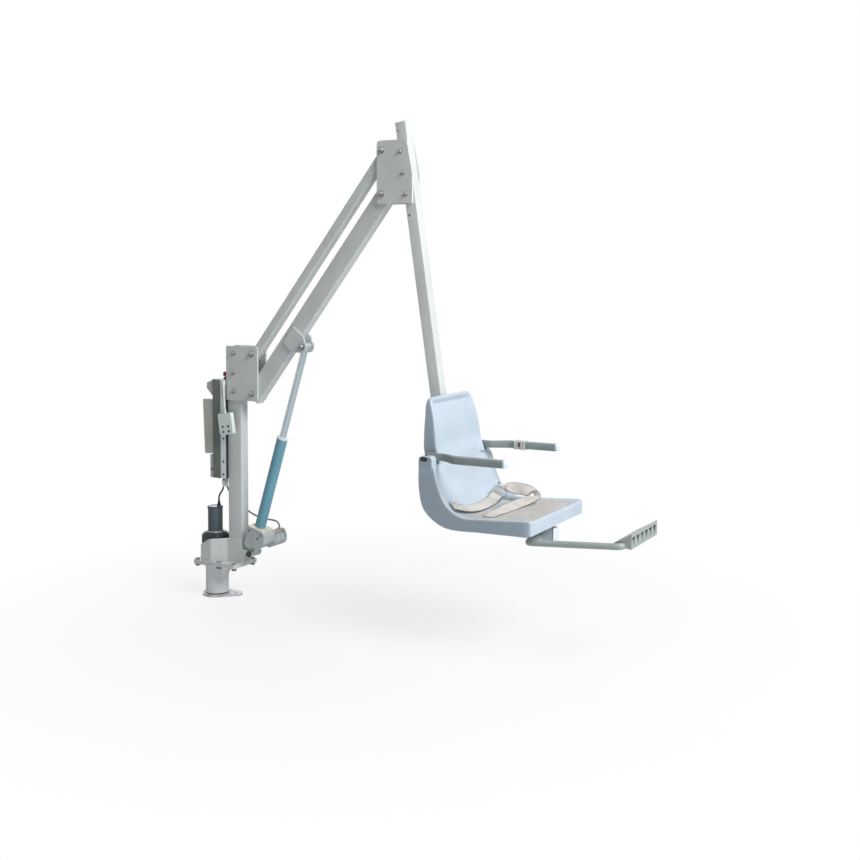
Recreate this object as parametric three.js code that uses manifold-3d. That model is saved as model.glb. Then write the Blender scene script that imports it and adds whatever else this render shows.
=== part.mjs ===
import * as THREE from 'three';
import { mergeVertices } from 'three/addons/utils/BufferGeometryUtils.js';
import Module from 'manifold-3d';

// Pool lift chair, in millimetres, +Z up. The origin is on the deck at the slewing axis, the boom points to +X.

const wasm = await Module();
wasm.setup();

// Shared fits and stock
const GAP = 0.3;
const OVERRUN = 40;
const SHORTEST_EDGE = 0.05;
const PLATE = 9.5;
const TUBE_WALL = 3.2;
const TUBE_CORNER = 4;
const HEX_FACETS = 6;
const BOLT_FACETS = 8;
const SMALL_FACETS = 12;
const BORE_FACETS = 16;
const ROUND_FACETS = 24;
const CORNER_STEPS = 6;
const TUBE_CORNER_STEPS = 3;

// Bolt heads, nuts and washers as shares of the thread radius
const WASHER_SHARES = { radius: 1.9, height: 0.25 };
const HEAD_SHARES = { radius: 1.6, height: 0.95, top: 0.55, shoulder: 0.35 };
const BASE_BOLT_SHARES = { head: 1.7, headHeight: 1.1, nut: 1.8, nutHeight: 1.6 };

// Deck flange and spindle
const FLANGE_RADIUS = 67;
const FLANGE_THICKNESS = 10;
const TAB_DISTANCE = 87;
const TAB_RADIUS = 33;
const TAB_ANGLE = THREE.MathUtils.degToRad(21);
const TAB_HOLE_RADIUS = 8;
const SPINDLE_RADIUS = 38;
const SPINDLE_CHAMFER = 5;
const WASHER_RADIUS = 49;
const WASHER_THICKNESS = 5;

// Turning sleeve with its bushes
const SLEEVE_RADIUS = 52.5;
const SLEEVE_BORE_RADIUS = 45;
const SLEEVE_FOOT_RADIUS = 56;
const SLEEVE_FOOT_HEIGHT = 14;
const BUSH_LENGTH = 35;
const BUSH_FLOOR = 4;
const GUSSET_REACH = 46;
const GUSSET_HEIGHT = 62;
const GUSSET_ANGLES = [-28, 28, 180].map(THREE.MathUtils.degToRad);

// Two bolted base plates
const BASE_TOP_OF_SLEEVE = 152;
const BASE_REAR = -75;
const BASE_FRONT = 165;
const BASE_HALF_WIDTH = 84;
const BASE_CORNER = 18;
const BASE_BOLT_Y = 68;
const BASE_BOLT_XS = [-58, 66, 151];
const BASE_BOLT_RADIUS = 6;

// Mast tube and the head plates on it
const MAST_X = 127;
const MAST_DEPTH = 76.2;
const MAST_WIDTH = 50.8;
const MAST_TOP = 1158;
const MAST_PLATE = { rear: 90, front: 265, bottom: 914, top: 1160, corner: 16, rearCorner: 6 };
const MAST_BOLT_X = 131.5;
const MAST_BOLT_ZS = [955, 1039, 1126];
const CLAMP_BOLT_RADIUS = 5;
const PIVOT_BOLT_RADIUS = 8;

// Parallelogram
const PIVOT_X = 232;
const PIVOT_Z = 946;
const PIVOT_RISE = 180;
const ARM_LENGTH = 1104;
const ARM_ANGLE = THREE.MathUtils.degToRad(52);
const ARM_DEPTH = 76.2;
const ARM_WIDTH = 47;
const ARM_OFFSET = 6;
const ARM_END = 20;
const LINK_DEPTH = 38.1;
const LINK_OFFSET = 7;
const PIVOT_SLEEVE_RADIUS = 14;

// Lug plates that hold the actuator under the arm
const LUG = { along: 340, below: 78, rear: 293, front: 381, top: -11, bottom: 58, radius: 26 };
const LUG_THICKNESS = 8.5;
const LUG_PIN_RADIUS = 9;
const LUG_BEAD = 1.5;

// Actuator
const BASE_PIN = { x: 211, z: 218 };
const BASE_PIN_RADIUS = 8;
const HOUSING = { rear: -34, front: 58, bottom: 26, top: 124, halfWidth: 40, ridge: 6, chamfer: 12 };
const HOUSING_TONGUE = { radius: 15, halfWidth: 24 };
const GASKET_THICKNESS = 5;
const GASKET_OVERHANG = 3;
const ACTUATOR_TUBE_RADIUS = 24.5;
const ACTUATOR_TUBE_WALL = 4;
const ACTUATOR_TUBE_TOP = 556;
const COLLAR_LENGTH = 9;
const COLLAR_OVERHANG = 1.5;
const ROD_RADIUS = 15;
const BORE_FOOT = 140;
const STROKE = 285;
const ROD_RESERVE = 15;
const EYE_RADIUS = 21;
const EYE_HALF_WIDTH = 15;
const EYE_BORE_RADIUS = 8.5;
const LIFT_MOTOR = { x: 36, z: 70, radius: 34, length: 100, rim: 4, gland: 100 };

// Cheek brackets beside the mast foot
const CHEEK = { rear: -34, foldRear: 23, foldFront: 89, wide: 75, top: 279, shoulder: 243, chamferX: 7 };
const CHEEK_STEP = { x: 170, z: 236, radius: 12 };
const CHEEK_LUG_RADIUS = 17;

// Slewing gearmotor
const SLEW = { x: -8, halfSide: 52, corner: 30, height: 122, collar: 8, canRadius: 34, canTop: 412 };
const BOOT = { x: 14, radius: 10, tipRadius: 5, height: 26 };

// Control box on its channel
const BOX = { rear: 13, seam: 59, bottom: 552, top: 1005, halfWidth: 40, corner: 4 };
const CHANNEL_THICKNESS = 2.3;
const CHANNEL_SLOT_SHARES = [0.0442, 0.1943, 0.404, 0.8344, 0.9669];
const CHANNEL_HOLE_RADIUS = 3;
const BATTERY = { rear: -45, bottom: 660, top: 912, corner: 9 };
const BOX_FOOT = { rear: -5, top: 658 };
const BOX_WEDGE = { rear: -23, bottom: 930, nose: 988, top: 1003 };
const STOP = { x: 62, radius: 13.5, height: 21, neckRadius: 11, neck: 14, travel: 5, stemRadius: 6 };

// Handset on its hook
const HANDSET = { x: 106.8, z: 808, width: 74, height: 97, thickness: 22, corner: 9 };
const HANDSET_TILT = THREE.MathUtils.degToRad(-8.3);
const HOOK = { x: 76, z: 800, width: 22, height: 60, thickness: 4 };
const KEY = { radius: 5.5, proud: 1.6, depth: 3, across: 16, rows: [-12, -35] };
const STRAIN_RELIEF = { radius: 5, length: 10 };
const GLAND_RADIUS = 9;

// Post and its head plates, placed from the lower head pivot
const POST_TOP = { ahead: 83.91, above: 293.54 };
const POST_LEAN = THREE.MathUtils.degToRad(8.6);
const POST_SIDE = 50.8;
const POST_BOLT_STEP = 44.4;
const POST_BOLTS = [122, 211, 298.5];
const POST_HOLE_RADIUS = 5;
const POST_HOLE_INSET = 12;
const POST_HOLES_ABOVE = [34, 76];
const POST_PLATE = { behind: 22.7, topFront: 120.3, front: 146.3, top: 220, knee: 81, below: 41, corner: 16 };

// Seat frame under the shell. The seat's places suit a post whose axis meets the seat tube's top at POST_FOOT_X
const POST_FOOT_X = 1240.71;
const SEAT_TUBE_TOP = 488.8;
const SEAT_TUBE_SIDE = 50.8;
const SEAT_TUBE_FRONT = 1686.5;
const SEAT_TUBE_REAR = 1217;
const MOUNT_PLATE = { rear: 1370, front: 1560, halfWidth: 100, thickness: 5 };

// Moulded seat shell: reference box, shares of it along the rim and the skirt edge, from the top of the back
const SEAT = { rear: 1217, front: 1706, bottom: 495, top: 995 };
const SEAT_HALF_WIDTH = 262;
const SEAT_WALL = 6;
const SEAT_DISH = 14;
const SEAT_RIM = 10;
const SEAT_RIM_RADIUS = 7;
const SEAT_BLEND = 34;
const SEAT_TOP_WALL_SHARE = 0.03;
const SEAT_LIP_WALL_SHARE = 0.05;
const SEAT_RIM_BEVEL_SHARE = 0.3;
const SEAT_DIP_SHARES = [[0, 0.04], [0.3, 0.3], [0.65, 0.72], [1, 0.92]];
const SEAT_STATIONS = 28;
const SEAT_SHARES = [
  { rimX: 0.012, rimZ: 1.0, edgeX: -0.02, edgeZ: 0.994, width: 0.6 },
  { rimX: 0.022, rimZ: 0.968, edgeX: -0.02, edgeZ: 0.962, width: 0.675 },
  { rimX: 0.06, rimZ: 0.846, edgeX: -0.02, edgeZ: 0.84, width: 0.72 },
  { rimX: 0.084, rimZ: 0.71, edgeX: -0.02, edgeZ: 0.705, width: 0.75 },
  { rimX: 0.1, rimZ: 0.606, edgeX: -0.016, edgeZ: 0.6, width: 0.765 },
  { rimX: 0.13, rimZ: 0.51, edgeX: 0, edgeZ: 0.506, width: 0.768 },
  { rimX: 0.135, rimZ: 0.492, edgeX: 0, edgeZ: 0.489, width: 0.775 },
  { rimX: 0.139, rimZ: 0.478, edgeX: 0.002, edgeZ: 0.474, width: 0.97 },
  { rimX: 0.147, rimZ: 0.45, edgeX: 0.004, edgeZ: 0.44, width: 1 },
  { rimX: 0.186, rimZ: 0.31, edgeX: 0.01, edgeZ: 0.27, width: 1 },
  { rimX: 0.25, rimZ: 0.192, edgeX: 0.055, edgeZ: 0.13, width: 1.005 },
  { rimX: 0.38, rimZ: 0.108, edgeX: 0.23, edgeZ: 0.012, width: 1.01 },
  { rimX: 0.63, rimZ: 0.11, edgeX: 0.58, edgeZ: 0.002, width: 1.015 },
  { rimX: 0.94, rimZ: 0.128, edgeX: 0.94, edgeZ: 0.01, width: 1.015 },
  { rimX: 0.985, rimZ: 0.126, edgeX: 0.985, edgeZ: 0.012, width: 0.985 },
  { rimX: 1.0, rimZ: 0.112, edgeX: 1.0, edgeZ: 0.02, width: 0.9 },
];
const EAR = { rear: 1217, front: 1278, bottom: 690, top: 772, corner: 14 };
const SEAT_BOSS_RADIUS = 15;
const SEAT_BACK_BOSS_ZS = [878.5, 705.5];

// Armrests: the rear end stands inside the ears, the front end outboard of the shell's side
const ARMREST_INNER_SHARE = 0.78626;
const ARMREST = {
  x: 1240, z: 766, height: 30, innerThickness: 16, outerThickness: 32, outboard: 8,
  rear: 1225, jogRear: 1296, jogFront: 1384, front: 1596,
};
const ARMREST_PIN_RADIUS = 8;

// Footrest
const FOOT_PIVOT = { x: 1640, z: 455 };
const FOOT_TUBE_RADIUS = 12.7;
const FOOT_BEND = 30;
const FOOT_OUT = 165;
const FOOT_FRONT = { x: 2022, z: 481 };
const FOOT_FAR = 140;
const FOOT_STEPS = 36;
const TRAY = { behind: 47, ahead: 33, below: 10, above: 47, halfWidth: 150, skin: 4, strip: 14 };
const TRAY_OPENINGS = 6;
const TRAY_BAY_SHARE = 0.42;
const TRAY_RIBS = 4;
const TRAY_RIB_FOOT_SHARE = 2.4;

// Seat belt: webbing on the pan and its buckle. Each strap runs from the buckle towards the shell's side
const WEBBING = { width: 50, thickness: 3, steps: 14 };
const BUCKLE = { x: 1385, z: 584, width: 58, length: 62, thickness: 14, corner: 8 };
const BUCKLE_ACROSS_SHARE = 0.51527;
const BUCKLE_TILT = THREE.MathUtils.degToRad(20);
const STRAP_SET_IN = 36;
const STRAP_REACH = 29.5;
const TAIL_SET_IN = 97;
const TAIL_REACH = 43;

// Strap stations: share of the way across, webbing widths ahead and above, direction of the width
const NEAR_STRAP_SHARES = [
  [1, -0.7, -0.016, 0.8, 0, -0.6], [0.84615, -0.26, -0.376, 0.88, 0, -0.46],
  [0.65611, -0.02, -0.576, 0.92, 0, -0.39], [0.31825, -0.02, -0.62, 0.92, 0, -0.39],
  [0.08507, 0, -0.418, 1, 0, 0], [0, 0, -0.214, 1, 0, 0],
];
const FAR_STRAP_SHARES = [
  [0, 0, 0.214, 1, 0, 0], [0.22927, 0, 0.316, 1, 0, 0], [0.64228, -0.3, 0.22, 0.88, 0, -0.46],
  [1, -0.74, 0, 0.8, 0, -0.6],
];
const TAIL_STRAP_SHARES = [
  [0, 0.7, 0.36, 0.6, -0.8, 0], [-0.04373, 1.22, 0.46, 0.6, -0.8, 0],
  [-0.08163, 1.9, 0.34, 0.6, -0.8, 0], [-0.08455, 2.46, 0, 0.65, -0.75, 0],
  [-0.04373, 2.66, -0.48, 0.75, -0.65, 0], [0.0379, 2.56, -0.78, 0.88, -0.47, 0],
  [0.22741, 2.3, -0.876, 0.97, -0.2, 0], [0.51895, 2.1, -0.896, 0.99, -0.1, 0],
  [0.8105, 1.94, -0.896, 1, -0.05, 0], [1, 1.84, -0.886, 1, -0.05, 0],
];

// Cords: routes of their free stretches
const CORD_RADIUS = 4;
const CORD_SIDES = 8;
const HANDSET_CORD = [
  [98.4, -55.3, 866.4], [95, -55.5, 890], [90.5, -53, 920],
  [86, -49.5, 945], [84.5, -48, 963], [84.5, -48, 979.5],
];
const SLEW_CORD = [
  [14, 0, 438.5], [14, 0, 452], [24, -4, 472], [42, -9, 492], [51, -10, 518], [51, -10, 541.5],
];
const LIFT_CORD = [
  [51, 10, 541.5], [51, 10, 522], [53, 20, 492], [70, 48, 446], [104, 64, 408], [150, 74, 378],
  [205, 86, 358], [245, 95, 355], [272, 99, 348], [282.8, 100, 330.4], [278.8, 100, 317],
];

// Colours
const materials = {
  frame: new THREE.MeshStandardMaterial({ color: 0xb4b9b8, roughness: 0.5, metalness: 0.1 }),
  steel: new THREE.MeshStandardMaterial({ color: 0x8e9294, roughness: 0.3, metalness: 1 }),
  black: new THREE.MeshStandardMaterial({ color: 0x1b1d1f, roughness: 0.7, metalness: 0 }),
  bronze: new THREE.MeshStandardMaterial({ color: 0x8a7448, roughness: 0.5, metalness: 0.8 }),
  slewMotor: new THREE.MeshStandardMaterial({ color: 0x3a424a, roughness: 0.5, metalness: 0.3 }),
  liftMotor: new THREE.MeshStandardMaterial({ color: 0x7c8487, roughness: 0.5, metalness: 0.3 }),
  actuatorTube: new THREE.MeshStandardMaterial({ color: 0x5d909f, roughness: 0.45, metalness: 0.2 }),
  rod: new THREE.MeshStandardMaterial({ color: 0x9fb6bd, roughness: 0.25, metalness: 1 }),
  gasket: new THREE.MeshStandardMaterial({ color: 0xe6dcc0, roughness: 0.7, metalness: 0 }),
  box: new THREE.MeshStandardMaterial({ color: 0x5f6663, roughness: 0.6, metalness: 0 }),
  battery: new THREE.MeshStandardMaterial({ color: 0x9c9c96, roughness: 0.6, metalness: 0 }),
  handset: new THREE.MeshStandardMaterial({ color: 0xd5e2dc, roughness: 0.5, metalness: 0 }),
  stop: new THREE.MeshStandardMaterial({ color: 0x960808, roughness: 0.4, metalness: 0 }),
  seat: new THREE.MeshStandardMaterial({ color: 0xc6d8e6, roughness: 0.4, metalness: 0 }),
  armrest: new THREE.MeshStandardMaterial({ color: 0x7d837f, roughness: 0.55, metalness: 0 }),
  tray: new THREE.MeshStandardMaterial({ color: 0xdde5ee, roughness: 0.5, metalness: 0 }),
  belt: new THREE.MeshStandardMaterial({ color: 0xc8c0b2, roughness: 0.9, metalness: 0 }),
};

// The whole lift and its turned frames
const lift = new THREE.Group();
const armFrame = new THREE.Group();
armFrame.position.set(PIVOT_X, 0, PIVOT_Z);
armFrame.rotation.y = -ARM_ANGLE;
const linkFrame = new THREE.Group();
linkFrame.position.set(PIVOT_X, 0, PIVOT_Z + PIVOT_RISE);
linkFrame.rotation.y = -ARM_ANGLE;
const headPivotX = PIVOT_X + ARM_LENGTH * Math.cos(ARM_ANGLE);
const headPivotZ = PIVOT_Z + ARM_LENGTH * Math.sin(ARM_ANGLE);
const postTopX = headPivotX + POST_TOP.ahead;
const postTopZ = headPivotZ + POST_TOP.above;
const postFrame = new THREE.Group();
postFrame.position.set(postTopX, 0, postTopZ);
postFrame.rotation.y = -POST_LEAN;
const seatFrame = new THREE.Group();
const seatShift = postTopX + (postTopZ - SEAT_TUBE_TOP) * Math.tan(POST_LEAN) - POST_FOOT_X;
seatFrame.position.x = seatShift;
const actuatorFrame = new THREE.Group();
actuatorFrame.position.set(BASE_PIN.x, 0, BASE_PIN.z);
const eyeX = PIVOT_X + LUG.along * Math.cos(ARM_ANGLE) + LUG.below * Math.sin(ARM_ANGLE);
const eyeZ = PIVOT_Z + LUG.along * Math.sin(ARM_ANGLE) - LUG.below * Math.cos(ARM_ANGLE);
const actuatorLength = Math.hypot(eyeX - BASE_PIN.x, eyeZ - BASE_PIN.z);
actuatorFrame.rotation.y = Math.atan2(eyeX - BASE_PIN.x, eyeZ - BASE_PIN.z);
const handsetFrame = new THREE.Group();
handsetFrame.position.set(HANDSET.x, -BOX.halfWidth - HOOK.thickness - GAP, HANDSET.z);
handsetFrame.rotation.y = HANDSET_TILT;
lift.add(armFrame, linkFrame, postFrame, seatFrame, actuatorFrame, handsetFrame);

function addPiece(name, geometry, material, parent = lift) {
  const mesh = new THREE.Mesh(geometry, material);
  mesh.name = name;
  parent.add(mesh);
  return mesh;
}

// Solids: three.js geometry to and from a manifold
function toSolid(geometry) {
  const plain = geometry.clone();
  plain.deleteAttribute('normal');
  plain.deleteAttribute('uv');
  const merged = mergeVertices(plain);
  const vertProperties = new Float32Array(merged.attributes.position.array);
  const triVerts = new Uint32Array(merged.index.array);
  return new wasm.Manifold(new wasm.Mesh({ numProp: 3, vertProperties, triVerts }));
}

function toGeometry(solid) {
  const mesh = solid.simplify(SHORTEST_EDGE).getMesh();
  const geometry = new THREE.BufferGeometry();
  geometry.setAttribute('position', new THREE.BufferAttribute(mesh.vertProperties, mesh.numProp));
  geometry.setIndex(new THREE.BufferAttribute(mesh.triVerts, 1));
  geometry.computeVertexNormals();
  return geometry;
}

function join(...geometries) {
  const solids = geometries.map(toSolid);
  return toGeometry(solids.reduce((sum, next) => sum.add(next)));
}

function cut(geometry, ...tools) {
  const solids = tools.map(toSolid);
  return toGeometry(solids.reduce((rest, next) => rest.subtract(next), toSolid(geometry)));
}

function overlap(first, second) {
  return toGeometry(toSolid(first).intersect(toSolid(second)));
}

// A polygon outline of [x, y, corner radius] points, with arcs at the rounded corners
function outline(points) {
  const shape = new THREE.Shape();
  points.forEach(([x, y, radius = 0], index) => {
    const here = new THREE.Vector2(x, y);
    const [beforeX, beforeY] = points[(index + points.length - 1) % points.length];
    const [afterX, afterY] = points[(index + 1) % points.length];
    const toBefore = new THREE.Vector2(beforeX, beforeY).sub(here);
    const toAfter = new THREE.Vector2(afterX, afterY).sub(here);
    const half = Math.abs(toBefore.angleTo(toAfter)) / 2;
    const reach = radius === 0 ? 0 : radius / Math.tan(half);
    const start = here.clone().addScaledVector(toBefore.normalize(), reach);
    const end = here.clone().addScaledVector(toAfter.normalize(), reach);
    if (index === 0) shape.moveTo(start.x, start.y);
    else shape.lineTo(start.x, start.y);
    if (reach > 0) shape.quadraticCurveTo(here.x, here.y, end.x, end.y);
  });
  shape.closePath();
  return shape;
}

function rectangle(left, right, bottom, top, radius = 0) {
  const lower = [[left, bottom, radius], [right, bottom, radius]];
  return outline([...lower, [right, top, radius], [left, top, radius]]);
}

function circleHole(x, y, radius) {
  const hole = new THREE.Path();
  hole.absarc(x, y, radius, 0, 2 * Math.PI, true);
  return hole;
}

// An outline drawn in X and Z, thick along Y between two places
function sideSlab(shape, yFrom, yTo, curveSegments = CORNER_STEPS) {
  const settings = { depth: yTo - yFrom, bevelEnabled: false, curveSegments };
  const geometry = new THREE.ExtrudeGeometry(shape, settings);
  geometry.rotateX(Math.PI / 2);
  return geometry.translate(0, yTo, 0);
}

// An outline drawn in X and Y, thick along Z between two heights
function flatSlab(shape, zFrom, zTo, curveSegments = CORNER_STEPS) {
  const settings = { depth: zTo - zFrom, bevelEnabled: false, curveSegments };
  return new THREE.ExtrudeGeometry(shape, settings).translate(0, 0, zFrom);
}

function block(xFrom, xTo, yFrom, yTo, zFrom, zTo) {
  const box = new THREE.BoxGeometry(xTo - xFrom, yTo - yFrom, zTo - zFrom);
  return box.translate((xFrom + xTo) / 2, (yFrom + yTo) / 2, (zFrom + zTo) / 2);
}

function crossPin(x, z, radius, yFrom, yTo, facets = BOLT_FACETS) {
  const pin = new THREE.CylinderGeometry(radius, radius, yTo - yFrom, facets);
  return pin.translate(x, (yFrom + yTo) / 2, z);
}

function upright(x, y, radius, zFrom, zTo, facets = ROUND_FACETS, topRadius = radius) {
  const pin = new THREE.CylinderGeometry(topRadius, radius, zTo - zFrom, facets);
  pin.rotateX(Math.PI / 2);
  return pin.translate(x, y, (zFrom + zTo) / 2);
}

// A revolved profile of [radius, height] points about Z, closed on itself or on the axis
function turned(points, facets = ROUND_FACETS) {
  const profile = points.map(([radius, height]) => new THREE.Vector2(radius, height));
  const geometry = new THREE.LatheGeometry(profile, facets);
  return geometry.rotateX(Math.PI / 2);
}

function ring(innerRadius, outerRadius, zFrom, zTo, facets = ROUND_FACETS) {
  return turned([
    [innerRadius, zFrom], [outerRadius, zFrom], [outerRadius, zTo], [innerRadius, zTo], [innerRadius, zFrom],
  ], facets);
}

// A through bolt along Y: washer and domed head on the near side, washer and nut on the far side
function throughBolt(x, z, radius, halfGrip) {
  const washer = { radius: radius * WASHER_SHARES.radius, thickness: radius * WASHER_SHARES.height };
  const head = { radius: radius * HEAD_SHARES.radius, height: radius * HEAD_SHARES.height };
  const near = -halfGrip - washer.thickness;
  const far = halfGrip + washer.thickness;
  const bolt = turned([
    [0, near - head.height],
    [head.radius * HEAD_SHARES.top, near - head.height],
    [head.radius, near - head.height * HEAD_SHARES.shoulder],
    [head.radius, near],
    [washer.radius, near],
    [washer.radius, -halfGrip],
    [radius, -halfGrip],
    [radius, halfGrip],
    [washer.radius, halfGrip],
    [washer.radius, far],
    [head.radius, far],
    [head.radius, far + head.height],
    [0, far + head.height],
  ], BOLT_FACETS);
  bolt.rotateX(-Math.PI / 2);
  return bolt.translate(x, 0, z);
}

// A square or rectangular tube along X, with rounded outer corners
function tubeAlongX(xFrom, xTo, width, depth, wall, centreZ = 0) {
  const shape = rectangle(-depth / 2, depth / 2, -width / 2, width / 2, TUBE_CORNER);
  shape.holes.push(rectangle(wall - depth / 2, depth / 2 - wall, wall - width / 2, width / 2 - wall));
  const settings = { depth: xTo - xFrom, bevelEnabled: false, curveSegments: TUBE_CORNER_STEPS };
  const geometry = new THREE.ExtrudeGeometry(shape, settings);
  geometry.rotateY(Math.PI / 2);
  return geometry.translate(xFrom, 0, centreZ);
}

function tubeAlongZ(zFrom, zTo, centreX, width, depth, wall) {
  const shape = rectangle(-depth / 2, depth / 2, -width / 2, width / 2, TUBE_CORNER);
  shape.holes.push(rectangle(wall - depth / 2, depth / 2 - wall, wall - width / 2, width / 2 - wall));
  const settings = { depth: zTo - zFrom, bevelEnabled: false, curveSegments: TUBE_CORNER_STEPS };
  const geometry = new THREE.ExtrudeGeometry(shape, settings);
  return geometry.translate(centreX, 0, zFrom);
}

// A round bar along a curve
function bar(curve, radius, facets, steps) {
  const section = new THREE.Shape();
  section.absarc(0, 0, radius, 0, 2 * Math.PI, false);
  const pieces = { steps, bevelEnabled: false, extrudePath: curve, curveSegments: facets / 2 };
  return new THREE.ExtrudeGeometry(section, pieces);
}

// Deck flange: a disc drawn out into a teardrop tab with one hole
const tabTangent = Math.acos((FLANGE_RADIUS - TAB_RADIUS) / TAB_DISTANCE);
const tabX = TAB_DISTANCE * Math.cos(TAB_ANGLE);
const tabY = TAB_DISTANCE * Math.sin(TAB_ANGLE);
const flangeShape = new THREE.Shape();
const flangeStart = TAB_ANGLE + tabTangent;
flangeShape.absarc(0, 0, FLANGE_RADIUS, flangeStart, TAB_ANGLE - tabTangent + 2 * Math.PI, false);
flangeShape.absarc(tabX, tabY, TAB_RADIUS, TAB_ANGLE - tabTangent, TAB_ANGLE + tabTangent, false);
flangeShape.holes.push(circleHole(tabX, tabY, TAB_HOLE_RADIUS));
addPiece('deck_flange', flatSlab(flangeShape, 0, FLANGE_THICKNESS, SMALL_FACETS), materials.frame);

const washerTop = FLANGE_THICKNESS + WASHER_THICKNESS;
const spindleTop = BASE_TOP_OF_SLEEVE - BUSH_FLOOR;
addPiece('spindle', turned([
  [0, FLANGE_THICKNESS],
  [SPINDLE_RADIUS, FLANGE_THICKNESS],
  [SPINDLE_RADIUS, spindleTop - SPINDLE_CHAMFER],
  [SPINDLE_RADIUS - SPINDLE_CHAMFER, spindleTop],
  [0, spindleTop],
]), materials.steel);
const washerBore = SPINDLE_RADIUS + GAP;
addPiece('thrust_washer', ring(washerBore, WASHER_RADIUS, FLANGE_THICKNESS, washerTop), materials.black);

// Turning sleeve: flared foot, and three gussets with a concave edge under the base plate
const sleeveFoot = washerTop + GAP;
const sleeveBody = turned([
  [SLEEVE_BORE_RADIUS, sleeveFoot],
  [SLEEVE_FOOT_RADIUS, sleeveFoot],
  [SLEEVE_RADIUS, sleeveFoot + SLEEVE_FOOT_HEIGHT],
  [SLEEVE_RADIUS, BASE_TOP_OF_SLEEVE],
  [SLEEVE_BORE_RADIUS, BASE_TOP_OF_SLEEVE],
  [SLEEVE_BORE_RADIUS, sleeveFoot],
]);
const gussetRoot = (SLEEVE_RADIUS + SLEEVE_BORE_RADIUS) / 2;
function gusset(angle) {
  const shape = new THREE.Shape();
  shape.moveTo(gussetRoot, BASE_TOP_OF_SLEEVE);
  shape.lineTo(gussetRoot, BASE_TOP_OF_SLEEVE - GUSSET_HEIGHT);
  shape.lineTo(SLEEVE_RADIUS, BASE_TOP_OF_SLEEVE - GUSSET_HEIGHT);
  const tip = SLEEVE_RADIUS + GUSSET_REACH;
  const lip = BASE_TOP_OF_SLEEVE - PLATE;
  shape.quadraticCurveTo(SLEEVE_RADIUS + PLATE, lip - PLATE, tip, lip);
  shape.lineTo(tip, BASE_TOP_OF_SLEEVE);
  shape.closePath();
  return sideSlab(shape, -PLATE / 2, PLATE / 2).rotateZ(angle);
}
addPiece('turning_sleeve', join(sleeveBody, ...GUSSET_ANGLES.map(gusset)), materials.frame);
const bushInner = (SPINDLE_RADIUS + GAP) / Math.cos(Math.PI / ROUND_FACETS);
const bushOuter = SLEEVE_BORE_RADIUS - GAP;
const lowerBushFoot = washerTop + GAP;
const lowerBush = ring(bushInner, bushOuter, lowerBushFoot, lowerBushFoot + BUSH_LENGTH);
addPiece('lower_bush', lowerBush, materials.bronze);
const upperBushTop = spindleTop - SPINDLE_CHAMFER;
const upperBush = ring(bushInner, bushOuter, upperBushTop - BUSH_LENGTH, upperBushTop);
addPiece('upper_bush', upperBush, materials.bronze);

// Base plates with six bolts: the upper plate carries the bolts, the lower one is drilled for them
const lowerPlateTop = BASE_TOP_OF_SLEEVE + PLATE;
const deckZ = lowerPlateTop + PLATE + GAP;
const basePlaces = BASE_BOLT_XS.flatMap((x) => [-BASE_BOLT_Y, BASE_BOLT_Y].map((y) => [x, y]));
function basePlate() {
  const rear = [[BASE_REAR, -BASE_HALF_WIDTH, BASE_CORNER], [BASE_FRONT, -BASE_HALF_WIDTH, TUBE_CORNER]];
  const front = [[BASE_FRONT, BASE_HALF_WIDTH, TUBE_CORNER], [BASE_REAR, BASE_HALF_WIDTH, BASE_CORNER]];
  return outline([...rear, ...front]);
}
const lowerShape = basePlate();
basePlaces.forEach(([x, y]) => lowerShape.holes.push(circleHole(x, y, BASE_BOLT_RADIUS + GAP)));
addPiece('lower_base_plate', flatSlab(lowerShape, BASE_TOP_OF_SLEEVE, lowerPlateTop), materials.frame);
function baseBolt([x, y]) {
  const share = BASE_BOLT_SHARES;
  const headTop = deckZ + BASE_BOLT_RADIUS * share.headHeight;
  const nutTop = BASE_TOP_OF_SLEEVE - GAP;
  const nutFoot = nutTop - BASE_BOLT_RADIUS * share.nutHeight;
  const shank = upright(x, y, BASE_BOLT_RADIUS, nutFoot + GAP, deckZ, SMALL_FACETS);
  const head = upright(x, y, BASE_BOLT_RADIUS * share.head, deckZ - GAP, headTop, HEX_FACETS);
  return [shank, head, upright(x, y, BASE_BOLT_RADIUS * share.nut, nutFoot, nutTop, HEX_FACETS)];
}
const upperPlate = flatSlab(basePlate(), lowerPlateTop + GAP, deckZ);
addPiece('upper_base_plate', join(upperPlate, ...basePlaces.flatMap(baseBolt)), materials.frame);

// Mast
const mastHalf = MAST_WIDTH / 2;
const plateOuter = mastHalf + PLATE;
const mastRear = MAST_X - MAST_DEPTH / 2;
const clampHole = CLAMP_BOLT_RADIUS + GAP;
const pivotHole = PIVOT_BOLT_RADIUS + GAP;
const mastBores = MAST_BOLT_ZS.map((z) => crossPin(MAST_BOLT_X, z, clampHole, -OVERRUN, OVERRUN));
const mastTube = tubeAlongZ(deckZ, MAST_TOP, MAST_X, MAST_WIDTH, MAST_DEPTH, TUBE_WALL);
addPiece('mast_tube', cut(mastTube, ...mastBores), materials.frame);

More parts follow.
